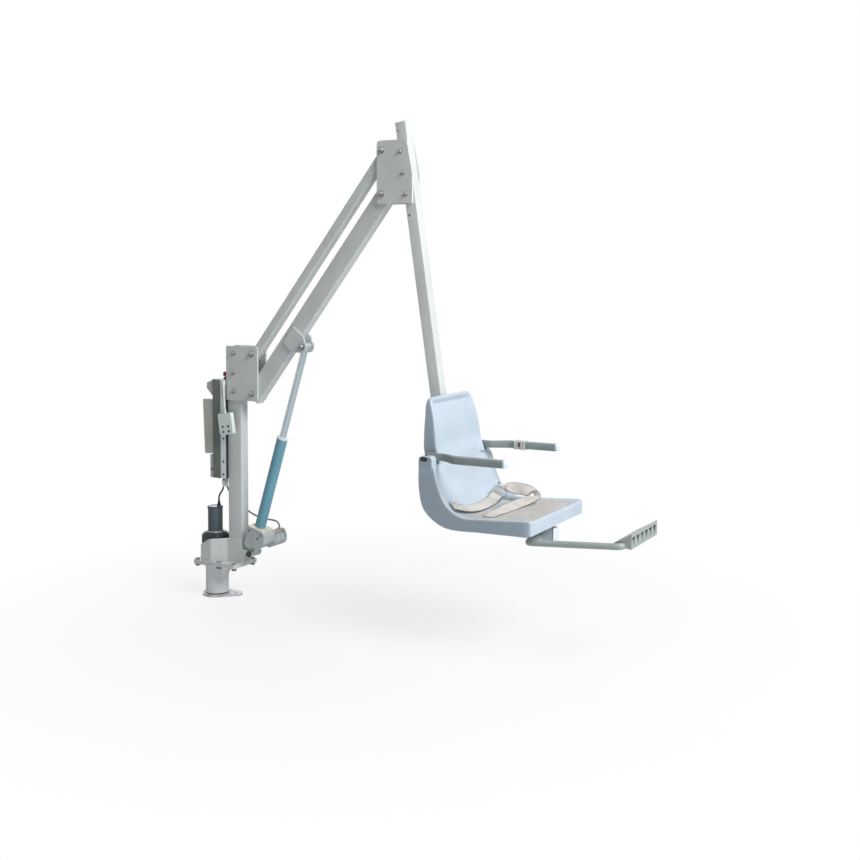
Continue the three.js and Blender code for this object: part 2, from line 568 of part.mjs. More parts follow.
const pivotZs = [PIVOT_Z, PIVOT_Z + PIVOT_RISE];
function mastPlate(side, boltHole) {
  const { rear, front, bottom, top, corner, rearCorner } = MAST_PLATE;
  const shape = outline([
    [rear, bottom, rearCorner], [front, bottom, corner], [front, top, corner], [rear, top, rearCorner],
  ]);
  if (boltHole > 0) MAST_BOLT_ZS.forEach((z) => shape.holes.push(circleHole(MAST_BOLT_X, z, boltHole)));
  pivotZs.forEach((z) => shape.holes.push(circleHole(PIVOT_X, z, pivotHole)));
  return side < 0 ? sideSlab(shape, -plateOuter, -mastHalf) : sideSlab(shape, mastHalf, plateOuter);
}
const mastClamps = MAST_BOLT_ZS.map((z) => throughBolt(MAST_BOLT_X, z, CLAMP_BOLT_RADIUS, plateOuter));
addPiece('mast_plate_near', join(mastPlate(-1, 0), ...mastClamps), materials.frame);
addPiece('mast_plate_far', mastPlate(1, clampHole), materials.frame);
['lower', 'upper'].forEach((place, index) => {
  const bolt = throughBolt(PIVOT_X, pivotZs[index], PIVOT_BOLT_RADIUS, plateOuter);
  addPiece(`mast_pivot_${place}`, bolt, materials.steel);
});

// Cheek brackets: a plan folded twice, cut to the side outline with the pin lug
function cheek(side) {
  const inner = mastHalf;
  const outer = inner + PLATE;
  const plan = outline([
    [CHEEK.rear, CHEEK.wide - PLATE],
    [CHEEK.foldRear - PLATE / 4, CHEEK.wide - PLATE],
    [CHEEK.foldFront - PLATE / 4, inner],
    [BASE_PIN.x + OVERRUN, inner],
    [BASE_PIN.x + OVERRUN, outer],
    [CHEEK.foldFront, outer],
    [CHEEK.foldRear, CHEEK.wide],
    [CHEEK.rear, CHEEK.wide],
  ].map(([x, y]) => [x, side * y]));
  const stepX = CHEEK_STEP.x;
  const side2d = new THREE.Shape();
  side2d.moveTo(CHEEK.rear, deckZ);
  side2d.lineTo(BASE_FRONT, deckZ);
  const lugFoot = BASE_PIN.z - CHEEK_LUG_RADIUS;
  side2d.quadraticCurveTo(BASE_FRONT + PLATE, lugFoot, BASE_PIN.x, lugFoot);
  side2d.absarc(BASE_PIN.x, BASE_PIN.z, CHEEK_LUG_RADIUS, -Math.PI / 2, Math.PI / 2, false);
  side2d.lineTo(stepX + CHEEK_STEP.radius, CHEEK_STEP.z);
  side2d.quadraticCurveTo(stepX, CHEEK_STEP.z, stepX, CHEEK_STEP.z + CHEEK_STEP.radius);
  side2d.lineTo(stepX - PLATE, CHEEK.top - CHEEK_STEP.radius);
  side2d.quadraticCurveTo(stepX - PLATE, CHEEK.top, stepX - PLATE - CHEEK_STEP.radius, CHEEK.top);
  side2d.lineTo(CHEEK.foldRear, CHEEK.top - PLATE / 2);
  side2d.lineTo(CHEEK.chamferX, CHEEK.top - PLATE);
  side2d.lineTo(CHEEK.rear, CHEEK.shoulder);
  side2d.closePath();
  side2d.holes.push(circleHole(BASE_PIN.x, BASE_PIN.z, BASE_PIN_RADIUS + GAP));
  const wall = flatSlab(plan, BASE_TOP_OF_SLEEVE, CHEEK.top + OVERRUN);
  const reach = CHEEK.wide + OVERRUN;
  return overlap(wall, side < 0 ? sideSlab(side2d, -reach, 0) : sideSlab(side2d, 0, reach));
}
addPiece('cheek_near', cheek(-1), materials.frame);
addPiece('cheek_far', cheek(1), materials.frame);
const basePin = throughBolt(BASE_PIN.x, BASE_PIN.z, BASE_PIN_RADIUS, plateOuter);
addPiece('actuator_base_pin', basePin, materials.steel);

// Slewing gearmotor with a round can and a rubber boot
const slewHousingTop = deckZ + SLEW.height;
const slewLeft = SLEW.x - SLEW.halfSide;
const slewRight = SLEW.x + SLEW.halfSide;
const slewShape = rectangle(slewLeft, slewRight, -SLEW.halfSide, SLEW.halfSide, SLEW.corner);
const slewTopShape = rectangle(
  slewLeft + SLEW.collar, slewRight - SLEW.collar,
  SLEW.collar - SLEW.halfSide, SLEW.halfSide - SLEW.collar, SLEW.corner - SLEW.collar,
);
const slewLower = flatSlab(slewShape, deckZ, slewHousingTop - SLEW.collar);
const slewCollar = flatSlab(slewTopShape, slewHousingTop - SLEW.collar, slewHousingTop);
addPiece('slew_gearbox', join(slewLower, slewCollar), materials.slewMotor);
addPiece('slew_motor', turned([
  [0, slewHousingTop],
  [SLEW.canRadius, slewHousingTop],
  [SLEW.canRadius, SLEW.canTop - SLEW.collar],
  [SLEW.canRadius - SLEW.collar / 2, SLEW.canTop],
  [0, SLEW.canTop],
]).translate(SLEW.x, 0, 0), materials.slewMotor);
const bootTop = SLEW.canTop + BOOT.height;
const boot = upright(BOOT.x, 0, BOOT.radius, SLEW.canTop, bootTop, BORE_FACETS, BOOT.tipRadius);
addPiece('slew_motor_boot', boot, materials.black);

// Channel on the mast, and the control box in it
const channelRear = mastRear - CHANNEL_THICKNESS;
const channelWeb = block(channelRear, mastRear, -BOX.halfWidth, BOX.halfWidth, BOX.bottom, BOX.top);
const innerSide = BOX.halfWidth - CHANNEL_THICKNESS;
const flangeNear = block(BOX.seam, mastRear, -BOX.halfWidth, -innerSide, BOX.bottom, BOX.top);
const flangeFar = block(BOX.seam, mastRear, innerSide, BOX.halfWidth, BOX.bottom, BOX.top);
const flangeMiddle = (BOX.seam + mastRear) / 2;
const channelHoles = CHANNEL_SLOT_SHARES.map((share) => {
  const z = BOX.bottom + share * (BOX.top - BOX.bottom);
  const reach = BOX.halfWidth + OVERRUN;
  return crossPin(flangeMiddle, z, CHANNEL_HOLE_RADIUS, -reach, reach);
});
const [cordX, cordY, cordTop] = HANDSET_CORD[HANDSET_CORD.length - 1];
const cordGlandTop = cordTop + STRAIN_RELIEF.length * 2;
const cordGland = upright(cordX, cordY, GLAND_RADIUS, cordTop + GAP, cordGlandTop, SMALL_FACETS);
const channel = cut(join(channelWeb, flangeNear, flangeFar, cordGland), ...channelHoles);
addPiece('box_channel', channel, materials.frame);

const boxBody = flatSlab(
  rectangle(BOX.rear, BOX.seam - GAP, -BOX.halfWidth, BOX.halfWidth, BOX.corner), BOX.bottom, BOX.top,
);
const boxSpine = block(
  BOX.seam - BOX.corner, channelRear - GAP, GAP - innerSide, innerSide - GAP, BOX.bottom, BOX.top,
);
const footHalf = BOX.halfWidth - BOX.corner;
const boxFoot = block(BOX_FOOT.rear, BOX.rear + BOX.corner, -footHalf, footHalf, BOX.bottom, BOX_FOOT.top);
const wedgeShape = outline([
  [BOX.rear + BOX.corner, BOX_WEDGE.bottom - BOX.corner],
  [BOX.rear - BOX.corner, BOX_WEDGE.bottom, BOX.corner / 2],
  [BOX_WEDGE.rear, BOX_WEDGE.nose - BOX.corner * 6, BOX.corner],
  [BOX_WEDGE.rear + BOX.corner, BOX_WEDGE.nose, BOX.corner],
  [BOX.rear + BOX.corner, BOX_WEDGE.top],
]);
const boxWedge = sideSlab(wedgeShape, -footHalf, footHalf);
const glandRadius = STRAIN_RELIEF.radius;
const glandFoot = BOX.bottom - STRAIN_RELIEF.length;
const glandX = BOX.seam - BOX.corner * 2;
const lowerGlands = [-1, 1].map((side) => {
  const glandTop = BOX.bottom + BOX.corner;
  return upright(glandX, side * glandRadius * 2, glandRadius, glandFoot, glandTop, SMALL_FACETS);
});
addPiece('control_box', join(boxBody, boxSpine, boxFoot, boxWedge, ...lowerGlands), materials.box);

// Battery, held on the rear of the box
const batteryFront = BOX.rear - GAP;
const batteryShape = outline([
  [batteryFront, BATTERY.bottom + BATTERY.corner / 2],
  [batteryFront, BATTERY.top],
  [BATTERY.rear, BATTERY.top, BATTERY.corner],
  [BATTERY.rear + BATTERY.corner, BATTERY.bottom, BATTERY.corner],
]);
addPiece('battery', sideSlab(batteryShape, -footHalf, footHalf), materials.battery);

// Stop button in its collar
const collarTop = BOX.top + STOP.neck - STOP.travel;
addPiece('stop_collar', turned([
  [STOP.stemRadius + GAP, BOX.top],
  [STOP.neckRadius, BOX.top],
  [STOP.neckRadius, collarTop],
  [STOP.stemRadius + GAP, collarTop],
  [STOP.stemRadius + GAP, BOX.top],
]).translate(STOP.x, 0, 0), materials.black);
const headFoot = BOX.top + STOP.neck;
const headTop = headFoot + STOP.height;
addPiece('stop_button', turned([
  [0, BOX.top + STOP.travel + GAP],
  [STOP.stemRadius, BOX.top + STOP.travel + GAP],
  [STOP.stemRadius, headFoot],
  [STOP.radius, headFoot],
  [STOP.radius, headTop - STOP.travel],
  [STOP.radius - STOP.travel / 2, headTop],
  [0, headTop],
]).translate(STOP.x, 0, 0), materials.stop);

// Hook, handset and its four keys
const hookBack = -BOX.halfWidth;
const hookPlate = block(
  HOOK.x - HOOK.width / 2, HOOK.x + HOOK.width / 2,
  hookBack - HOOK.thickness, hookBack, HOOK.z - HOOK.height / 2, HOOK.z + HOOK.height / 2,
);
addPiece('handset_hook', hookPlate, materials.frame);
const halfW = HANDSET.width / 2;
const halfH = HANDSET.height / 2;
const keyPlaces = KEY.rows.flatMap((z) => [-KEY.across, KEY.across].map((x) => [x, z]));
const handsetShape = rectangle(-halfW, halfW, -halfH, halfH, HANDSET.corner);
const handsetBody = sideSlab(handsetShape, -HANDSET.thickness, 0);
const keyWell = KEY.depth + KEY.proud;
const keyWells = keyPlaces.map(([x, z]) => {
  const face = -HANDSET.thickness;
  return crossPin(x, z, KEY.radius + GAP, face - keyWell, face + keyWell, SMALL_FACETS);
});
const relief = upright(0, -HANDSET.thickness / 2, STRAIN_RELIEF.radius, halfH - HANDSET.corner,
  halfH + STRAIN_RELIEF.length, SMALL_FACETS);
addPiece('handset', cut(join(handsetBody, relief), ...keyWells), materials.handset, handsetFrame);
keyPlaces.forEach(([x, z], index) => {
  const face = -HANDSET.thickness;
  const key = crossPin(x, z, KEY.radius, face - KEY.proud, face + KEY.depth, SMALL_FACETS);
  addPiece(`handset_key_${index + 1}`, key, materials.box, handsetFrame);
});

// Main arm: tube on an offset line, a bored sleeve at each pivot
function pivotedTube(depth, offset) {
  const tube = tubeAlongX(-ARM_END, ARM_LENGTH + ARM_END, ARM_WIDTH, depth, TUBE_WALL, -offset);
  const half = mastHalf - GAP;
  const ends = [0, ARM_LENGTH];
  const sleeves = ends.map((x) => crossPin(x, 0, PIVOT_SLEEVE_RADIUS, -half, half, SMALL_FACETS));
  const bores = ends.map((x) => crossPin(x, 0, pivotHole, -OVERRUN, OVERRUN, SMALL_FACETS));
  return cut(join(tube, ...sleeves), ...bores);
}
addPiece('main_arm_tube', pivotedTube(ARM_DEPTH, ARM_OFFSET), materials.frame, armFrame);
addPiece('upper_link_tube', pivotedTube(LINK_DEPTH, LINK_OFFSET), materials.frame, linkFrame);

// Lug plates, each with its half of the actuator pin
const lugInner = ARM_WIDTH / 2;
const lugOuter = lugInner + LUG_THICKNESS;
function lugPlate(side) {
  const shape = new THREE.Shape();
  shape.moveTo(LUG.rear, -LUG.top);
  shape.lineTo(LUG.rear, -LUG.bottom);
  const toRear = Math.hypot(LUG.along - LUG.rear, LUG.below - LUG.bottom);
  const startAngle = Math.PI + Math.acos(LUG.radius / toRear) / 2;
  shape.absarc(LUG.along, -LUG.below, LUG.radius, startAngle, 2 * Math.PI, false);
  shape.lineTo(LUG.front, -LUG.bottom);
  shape.lineTo(LUG.front, -LUG.top);
  shape.closePath();
  const plate = side < 0 ? sideSlab(shape, -lugOuter, -lugInner) : sideSlab(shape, lugInner, lugOuter);
  const pinTip = EYE_HALF_WIDTH + GAP;
  const headTopY = lugOuter + LUG_PIN_RADIUS;
  const places = side < 0 ? [-lugOuter, -pinTip] : [pinTip, lugOuter];
  const spacer = side < 0 ? [-lugInner - LUG_BEAD, -pinTip] : [pinTip, lugInner + LUG_BEAD];
  const stub = crossPin(LUG.along, -LUG.below, LUG_PIN_RADIUS, ...places);
  const washer = crossPin(LUG.along, -LUG.below, LUG_PIN_RADIUS + LUG_BEAD * 2, ...spacer);
  const headPlaces = side < 0 ? [-headTopY, -lugOuter + LUG_BEAD] : [lugOuter - LUG_BEAD, headTopY];
  const head = crossPin(LUG.along, -LUG.below, LUG_PIN_RADIUS + LUG_BEAD * 2, ...headPlaces);
  return join(plate, stub, washer, head);
}
addPiece('arm_lug_near', lugPlate(-1), materials.frame, armFrame);
addPiece('arm_lug_far', lugPlate(1), materials.frame, armFrame);

// Post head plates, bolts and the drilled post
const headPivotZs = [headPivotZ, headPivotZ + PIVOT_RISE];
function onPost(distance, across = 0) {
  const x = postTopX + distance * Math.sin(POST_LEAN) + across * Math.cos(POST_LEAN);
  const z = postTopZ - distance * Math.cos(POST_LEAN) + across * Math.sin(POST_LEAN);
  return [x, z];
}
const postBoltInset = POST_SIDE / 2 - POST_HOLE_INSET;
const postBoltPlaces = POST_BOLTS.map((distance) => onPost(distance, -postBoltInset));
function postPlate(side, boltHole) {
  const { behind, topFront, front, top, knee, below, corner } = POST_PLATE;
  const shape = outline([
    [-behind, -below, corner], [front, -below], [front, knee],
    [topFront, top, corner], [-behind, top, corner],
  ].map(([x, z, radius]) => [headPivotX + x, headPivotZ + z, radius]));
  if (boltHole > 0) postBoltPlaces.forEach(([x, z]) => shape.holes.push(circleHole(x, z, boltHole)));
  headPivotZs.forEach((z) => shape.holes.push(circleHole(headPivotX, z, pivotHole)));
  return side < 0 ? sideSlab(shape, -plateOuter, -mastHalf) : sideSlab(shape, mastHalf, plateOuter);
}
const postClamps = postBoltPlaces.map(([x, z]) => throughBolt(x, z, CLAMP_BOLT_RADIUS, plateOuter));
addPiece('post_plate_near', join(postPlate(-1, 0), ...postClamps), materials.frame);
addPiece('post_plate_far', postPlate(1, clampHole), materials.frame);
['lower', 'upper'].forEach((place, index) => {
  const bolt = throughBolt(headPivotX, headPivotZs[index], PIVOT_BOLT_RADIUS, plateOuter);
  addPiece(`post_pivot_${place}`, bolt, materials.steel);
});

// The post in its own leaning frame, down to the seat tube
const seatTubeAxis = SEAT_TUBE_TOP - SEAT_TUBE_SIDE / 2;
const postLength = (postTopZ - SEAT_TUBE_TOP) / Math.cos(POST_LEAN) + POST_SIDE;
const postTube = tubeAlongZ(-postLength, 0, 0, POST_SIDE, POST_SIDE, TUBE_WALL);
const [postFootX] = onPost(postLength);
const mitre = block(
  postFootX - postLength, postFootX + postLength, -OVERRUN, OVERRUN,
  SEAT_TUBE_TOP - postLength, SEAT_TUBE_TOP + GAP,
);
postFrame.updateMatrixWorld();
mitre.applyMatrix4(postFrame.matrixWorld.clone().invert());
const lastHole = POST_BOLTS[POST_BOLTS.length - 1] + POST_BOLT_STEP * 2;
const postHoleDepths = [...POST_HOLES_ABOVE, ...POST_BOLTS, lastHole];
const postHoles = postHoleDepths.map((distance) => {
  return crossPin(-postBoltInset, -distance, POST_HOLE_RADIUS + GAP, -OVERRUN, OVERRUN);
});
addPiece('post_tube', cut(postTube, mitre, ...postHoles), materials.frame, postFrame);

// Seat tube under the pan and the plate on it
const seatTube = tubeAlongX(
  SEAT_TUBE_REAR, SEAT_TUBE_FRONT, SEAT_TUBE_SIDE, SEAT_TUBE_SIDE, TUBE_WALL, seatTubeAxis,
);
addPiece('seat_tube', seatTube, materials.frame, seatFrame);
const mountTop = SEAT_TUBE_TOP + MOUNT_PLATE.thickness;
addPiece('seat_mount_plate', block(
  MOUNT_PLATE.rear, MOUNT_PLATE.front, -MOUNT_PLATE.halfWidth, MOUNT_PLATE.halfWidth, SEAT_TUBE_TOP, mountTop,
), materials.frame, seatFrame);

// Seat shell: a dished tray section swept from the top of the back to the pan front, minus the same one inset
const seatLength = SEAT.front - SEAT.rear;
const seatHeight = SEAT.top - SEAT.bottom;
const rimCurve = new THREE.CatmullRomCurve3(SEAT_SHARES.map((share) => new THREE.Vector3(
  SEAT.rear + share.rimX * seatLength, share.width * SEAT_HALF_WIDTH, SEAT.bottom + share.rimZ * seatHeight,
)), false, 'centripetal');
const edgeCurve = new THREE.CatmullRomCurve3(SEAT_SHARES.map((share) => new THREE.Vector3(
  SEAT.rear + share.edgeX * seatLength, share.width * SEAT_HALF_WIDTH, SEAT.bottom + share.edgeZ * seatHeight,
)), false, 'centripetal');

function sectionHalf(halfWidth, depth, inset) {
  const wide = halfWidth - inset;
  const radius = SEAT_RIM_RADIUS;
  const bevel = radius * SEAT_RIM_BEVEL_SHARE;
  const blendStart = wide - SEAT_RIM;
  const blendEnd = blendStart - SEAT_BLEND;
  const dip = SEAT_DIP_SHARES.map(([across, down]) => {
    return [blendStart - SEAT_BLEND * across, inset + SEAT_DISH * down];
  });
  return [
    [wide, depth + (inset > 0 ? OVERRUN : 0)],
    [wide, radius + inset],
    [wide - bevel, bevel + inset],
    [wide - radius, inset],
    ...dip,
    [blendEnd / 2, inset + SEAT_DISH],
  ];
}

function seatLoft(inset) {
  const stations = [];
  for (let index = 0; index <= SEAT_STATIONS; index += 1) {
    const start = inset > 0 ? SEAT_TOP_WALL_SHARE : 0;
    const end = inset > 0 ? 1 - SEAT_LIP_WALL_SHARE : 1;
    const along = start + (end - start) * index / SEAT_STATIONS;
    const rim = rimCurve.getPoint(along);
    const edge = edgeCurve.getPoint(along);
    const down = new THREE.Vector3(edge.x - rim.x, 0, edge.z - rim.z);
    const depth = down.length();
    down.normalize();
    const half = sectionHalf(rim.y, depth, inset);
    const full = [...half, ...half.map(([y, v]) => [-y, v]).reverse()];
    stations.push(full.map(([y, v]) => [rim.x + down.x * v, y, rim.z + down.z * v]));
  }
  return loft(stations);
}

// Triangles that close one end of a loft, facing away from the ring next to it
function endFaces(ring, neighbour) {
  const points = ring.map((place) => new THREE.Vector3(...place));
  const facing = new THREE.Vector3();
  points.forEach((point, index) => facing.add(point.clone().cross(points[(index + 1) % points.length])));
  const level = new THREE.Quaternion().setFromUnitVectors(facing.normalize(), new THREE.Vector3(0, 0, 1));
  const contour = points.map((point) => {
    const flat = point.clone().applyQuaternion(level);
    return new THREE.Vector2(flat.x, flat.y);
  });
  const faces = THREE.ShapeUtils.triangulateShape(contour, []);
  const outward = points[0].clone().sub(new THREE.Vector3(...neighbour[0]));
  return outward.dot(facing) > 0 ? faces : faces.map((face) => face.reverse());
}

// A closed skin over rings of equal count
function loft(stations) {
  const count = stations[0].length;
  const positions = stations.flat(2);
  const index = [];
  for (let station = 0; station + 1 < stations.length; station += 1) {
    for (let point = 0; point < count; point += 1) {
      const next = (point + 1) % count;
      const a = station * count + point;
      const b = station * count + next;
      const c = a + count;
      const d = b + count;
      index.push(a, b, d, a, d, c);
    }
  }
  const last = stations.length - 1;
  index.push(...endFaces(stations[0], stations[1]).flat());
  index.push(...endFaces(stations[last], stations[last - 1]).flat().map((point) => last * count + point));
  const geometry = new THREE.BufferGeometry();
  geometry.setAttribute('position', new THREE.Float32BufferAttribute(positions, 3));
  geometry.setIndex(index);
  return geometry;
}

const armrestInner = SEAT_HALF_WIDTH * ARMREST_INNER_SHARE;
function earBlock(side) {
  const shape = rectangle(EAR.rear, EAR.front, EAR.bottom, EAR.top, EAR.corner);
  const outer = SEAT_HALF_WIDTH;
  const inner = armrestInner + ARMREST.innerThickness + GAP;
  return side < 0 ? sideSlab(shape, -outer, -inner) : sideSlab(shape, inner, outer);
}
const earBore = crossPin(ARMREST.x, ARMREST.z, ARMREST_PIN_RADIUS + GAP,
  -SEAT_HALF_WIDTH - OVERRUN, SEAT_HALF_WIDTH + OVERRUN, BORE_FACETS);
const panBosses = [MOUNT_PLATE.rear, MOUNT_PLATE.front].flatMap((x) => [-1, 1].map((side) => {
  const inboard = MOUNT_PLATE.halfWidth - SEAT_BOSS_RADIUS;
  const offset = x === MOUNT_PLATE.rear ? SEAT_BOSS_RADIUS : -SEAT_BOSS_RADIUS;
  return upright(x + offset, side * inboard, SEAT_BOSS_RADIUS, mountTop, mountTop + OVERRUN * 2, BORE_FACETS);
}));
const backBosses = SEAT_BACK_BOSS_ZS.map((height) => {
  const [x, z] = onPost((postTopZ - height) / Math.cos(POST_LEAN), POST_SIDE / 2 + GAP);
  const boss = new THREE.CylinderGeometry(SEAT_BOSS_RADIUS, SEAT_BOSS_RADIUS, OVERRUN * 2, BORE_FACETS);
  boss.rotateZ(Math.PI / 2);
  boss.translate(OVERRUN, 0, 0);
  boss.rotateY(-POST_LEAN);
  return boss.translate(x - seatShift, 0, z);
});
const outerShell = toSolid(seatLoft(0));
const innerShell = toSolid(seatLoft(SEAT_WALL));
const bossStock = toSolid(join(...panBosses, ...backBosses)).intersect(outerShell);
const ears = [earBlock(-1), earBlock(1)].map(toSolid);
let seatShell = outerShell.subtract(innerShell).add(bossStock).add(ears[0]).add(ears[1]);
seatShell = seatShell.subtract(toSolid(earBore));
addPiece('seat_shell', toGeometry(seatShell), materials.seat, seatFrame);

// Armrests: a bar jogged outward, capped at the front, on a pin in the ear
function armrest(side) {
  const { innerThickness, outerThickness, rear, jogRear, jogFront, front } = ARMREST;
  const inner = armrestInner;
  const outer = SEAT_HALF_WIDTH + ARMREST.outboard;
  const bend = (jogRear + jogFront) / 2;
  const rearFaces = [side * inner, side * (inner + innerThickness)];
  const frontFaces = [side * (outer - outerThickness), side * outer];
  const plan = new THREE.Shape();
  plan.moveTo(rear, rearFaces[0]);
  plan.lineTo(jogRear, rearFaces[0]);
  plan.bezierCurveTo(bend, rearFaces[0], bend, frontFaces[0], jogFront, frontFaces[0]);
  plan.lineTo(front, frontFaces[0]);
  plan.lineTo(front, frontFaces[1]);
  plan.lineTo(jogFront, frontFaces[1]);
  plan.bezierCurveTo(bend, frontFaces[1], bend, rearFaces[1], jogRear, rearFaces[1]);
  plan.lineTo(rear, rearFaces[1]);
  plan.closePath();
  const halfHeight = ARMREST.height / 2;
  const barBody = flatSlab(plan, ARMREST.z - halfHeight, ARMREST.z + halfHeight);
  const pinFrom = inner + innerThickness / 2;
  const pinTo = SEAT_HALF_WIDTH - SEAT_WALL;
  const pin = side < 0
    ? crossPin(ARMREST.x, ARMREST.z, ARMREST_PIN_RADIUS, -pinTo, -pinFrom, BORE_FACETS)
    : crossPin(ARMREST.x, ARMREST.z, ARMREST_PIN_RADIUS, pinFrom, pinTo, BORE_FACETS);
  return join(barBody, pin);
}
addPiece('armrest_near', armrest(-1), materials.armrest, seatFrame);
addPiece('armrest_far', armrest(1), materials.armrest, seatFrame);

// Footrest tube: out from the seat tube, forward and slightly up, then across under the tray
const footPoints = [
  [FOOT_PIVOT.x, -SEAT_TUBE_SIDE / 2 - GAP, FOOT_PIVOT.z],
  [FOOT_PIVOT.x, -FOOT_OUT, FOOT_PIVOT.z],
  [FOOT_FRONT.x, -FOOT_OUT, FOOT_FRONT.z],
  [FOOT_FRONT.x, FOOT_FAR, FOOT_FRONT.z],
].map(([x, y, z]) => new THREE.Vector3(x, y, z));
function roundedPath(points, radius) {
  const path = new THREE.CurvePath();
  let from = points[0];
  for (let index = 1; index + 1 < points.length; index += 1) {
    const corner = points[index];
    const start = corner.clone().add(points[index - 1].clone().sub(corner).setLength(radius));
    const end = corner.clone().add(points[index + 1].clone().sub(corner).setLength(radius));
    path.add(new THREE.LineCurve3(from, start));
    path.add(new THREE.QuadraticBezierCurve3(start, corner, end));
    from = end;
  }
  path.add(new THREE.LineCurve3(from, points[points.length - 1]));
  return path;
}
const footPath = roundedPath(footPoints, FOOT_BEND);
const footBar = bar(footPath, FOOT_TUBE_RADIUS, SMALL_FACETS, FOOT_STEPS);
addPiece('footrest_tube', footBar, materials.tray, seatFrame);

// Footrest tray: slanted foot plate, truss front and ribs that saddle the cross tube
const trayRear = FOOT_FRONT.x - TRAY.behind;
const trayFront = FOOT_FRONT.x + TRAY.ahead;
const trayBottom = FOOT_FRONT.z - TRAY.below;
const trayTop = FOOT_FRONT.z + TRAY.above;
const trayPlate = sideSlab(outline([
  [trayRear, trayBottom + TRAY.skin * 2],
  [trayFront, trayTop - TRAY.skin],
  [trayFront, trayTop],
  [trayRear, trayBottom + TRAY.skin * 3],
]), -TRAY.halfWidth, TRAY.halfWidth);
const trussBack = trayFront - TRAY.skin;
const truss = block(trussBack, trayFront, -TRAY.halfWidth, TRAY.halfWidth, trayBottom, trayTop);
const bay = 2 * (TRAY.halfWidth - TRAY.skin) / TRAY_OPENINGS;
const bayTop = trayTop - TRAY.strip;
const bayBottom = trayBottom + TRAY.skin * 2;
const trussOpenings = Array.from({ length: TRAY_OPENINGS }, (unused, opening) => {
  const middle = (opening + 0.5) * bay - TRAY.halfWidth + TRAY.skin;
  const reach = bay * TRAY_BAY_SHARE;
  const shape = outline([[middle - reach, bayTop], [middle, bayBottom], [middle + reach, bayTop]]);
  const geometry = new THREE.ExtrudeGeometry(shape, { depth: OVERRUN, bevelEnabled: false });
  geometry.rotateX(Math.PI / 2);
  geometry.rotateZ(Math.PI / 2);
  return geometry.translate(trussBack - GAP, 0, 0);
});
const ribSpan = 2 * TRAY.halfWidth - TRAY.skin;
const trayRibs = Array.from({ length: TRAY_RIBS }, (unused, index) => {
  const y = index * ribSpan / (TRAY_RIBS - 1) - TRAY.halfWidth;
  return sideSlab(outline([
    [trayRear + TRAY.skin, trayBottom + TRAY.skin * TRAY_RIB_FOOT_SHARE],
    [trayFront - TRAY.skin / 2, trayBottom],
    [trayFront - TRAY.skin / 2, trayTop - TRAY.skin / 2],
  ]), y, y + TRAY.skin);
});
const tubeRoom = bar(footPath, FOOT_TUBE_RADIUS + GAP * 2, SMALL_FACETS, FOOT_STEPS);
const trayBody = join(trayPlate, truss, ...trayRibs);
addPiece('footrest_tray', cut(trayBody, tubeRoom, ...trussOpenings), materials.tray, seatFrame);

// Actuator in its own frame: Z runs from the base pin to the rod eye
const housingShape = outline([
  [HOUSING.rear, HOUSING.bottom + HOUSING.chamfer],
  [HOUSING.rear + HOUSING.chamfer, HOUSING.bottom, HOUSING.ridge],
  [HOUSING.front - HOUSING.chamfer * 3, HOUSING.bottom, HOUSING.ridge],
  [HOUSING.front + HOUSING.ridge, HOUSING.bottom + HOUSING.chamfer * 4, HOUSING.ridge],
  [HOUSING.front, HOUSING.top - HOUSING.chamfer, HOUSING.ridge],
  [HOUSING.front - HOUSING.chamfer, HOUSING.top],
  [HOUSING.rear, HOUSING.top],
]);
const housingBlock = sideSlab(housingShape, -HOUSING.halfWidth, HOUSING.halfWidth);
const tongueShape = new THREE.Shape();
tongueShape.absarc(0, 0, HOUSING_TONGUE.radius, Math.PI, 2 * Math.PI, false);
tongueShape.lineTo(HOUSING_TONGUE.radius, HOUSING.bottom + HOUSING.chamfer);
tongueShape.lineTo(-HOUSING_TONGUE.radius, HOUSING.bottom + HOUSING.chamfer);
tongueShape.closePath();
const tongue = sideSlab(tongueShape, -HOUSING_TONGUE.halfWidth, HOUSING_TONGUE.halfWidth);
const tongueBore = crossPin(0, 0, BASE_PIN_RADIUS + GAP, -OVERRUN, OVERRUN, BORE_FACETS);
const tubeFoot = HOUSING.top + GASKET_THICKNESS;
addPiece('actuator_gearbox', cut(join(housingBlock, tongue), tongueBore), materials.liftMotor, actuatorFrame);
const motorFrom = HOUSING.halfWidth + GAP;
const motorTo = motorFrom + LIFT_MOTOR.length;
const motorProfile = [
  [0, motorFrom],
  [LIFT_MOTOR.radius, motorFrom],
  [LIFT_MOTOR.radius, motorTo - LIFT_MOTOR.rim],
  [LIFT_MOTOR.radius - LIFT_MOTOR.rim, motorTo],
  [0, motorTo],
];
const motor = turned(motorProfile).rotateX(-Math.PI / 2).translate(LIFT_MOTOR.x, 0, LIFT_MOTOR.z);
const motorTop = LIFT_MOTOR.z + LIFT_MOTOR.radius;
const motorGland = upright(LIFT_MOTOR.x, LIFT_MOTOR.gland, STRAIN_RELIEF.radius,
  motorTop - STRAIN_RELIEF.length, motorTop + STRAIN_RELIEF.length, SMALL_FACETS);
addPiece('actuator_motor', join(motor, motorGland), materials.liftMotor, actuatorFrame);
const gasketShape = rectangle(
  HOUSING.rear - GASKET_OVERHANG, HOUSING.front - HOUSING.chamfer + GASKET_OVERHANG,
  -HOUSING.halfWidth - GASKET_OVERHANG, HOUSING.halfWidth + GASKET_OVERHANG, HOUSING.ridge,
);
const gasket = flatSlab(gasketShape, HOUSING.top + GAP, tubeFoot - GAP);
addPiece('actuator_gasket', gasket, materials.gasket, actuatorFrame);
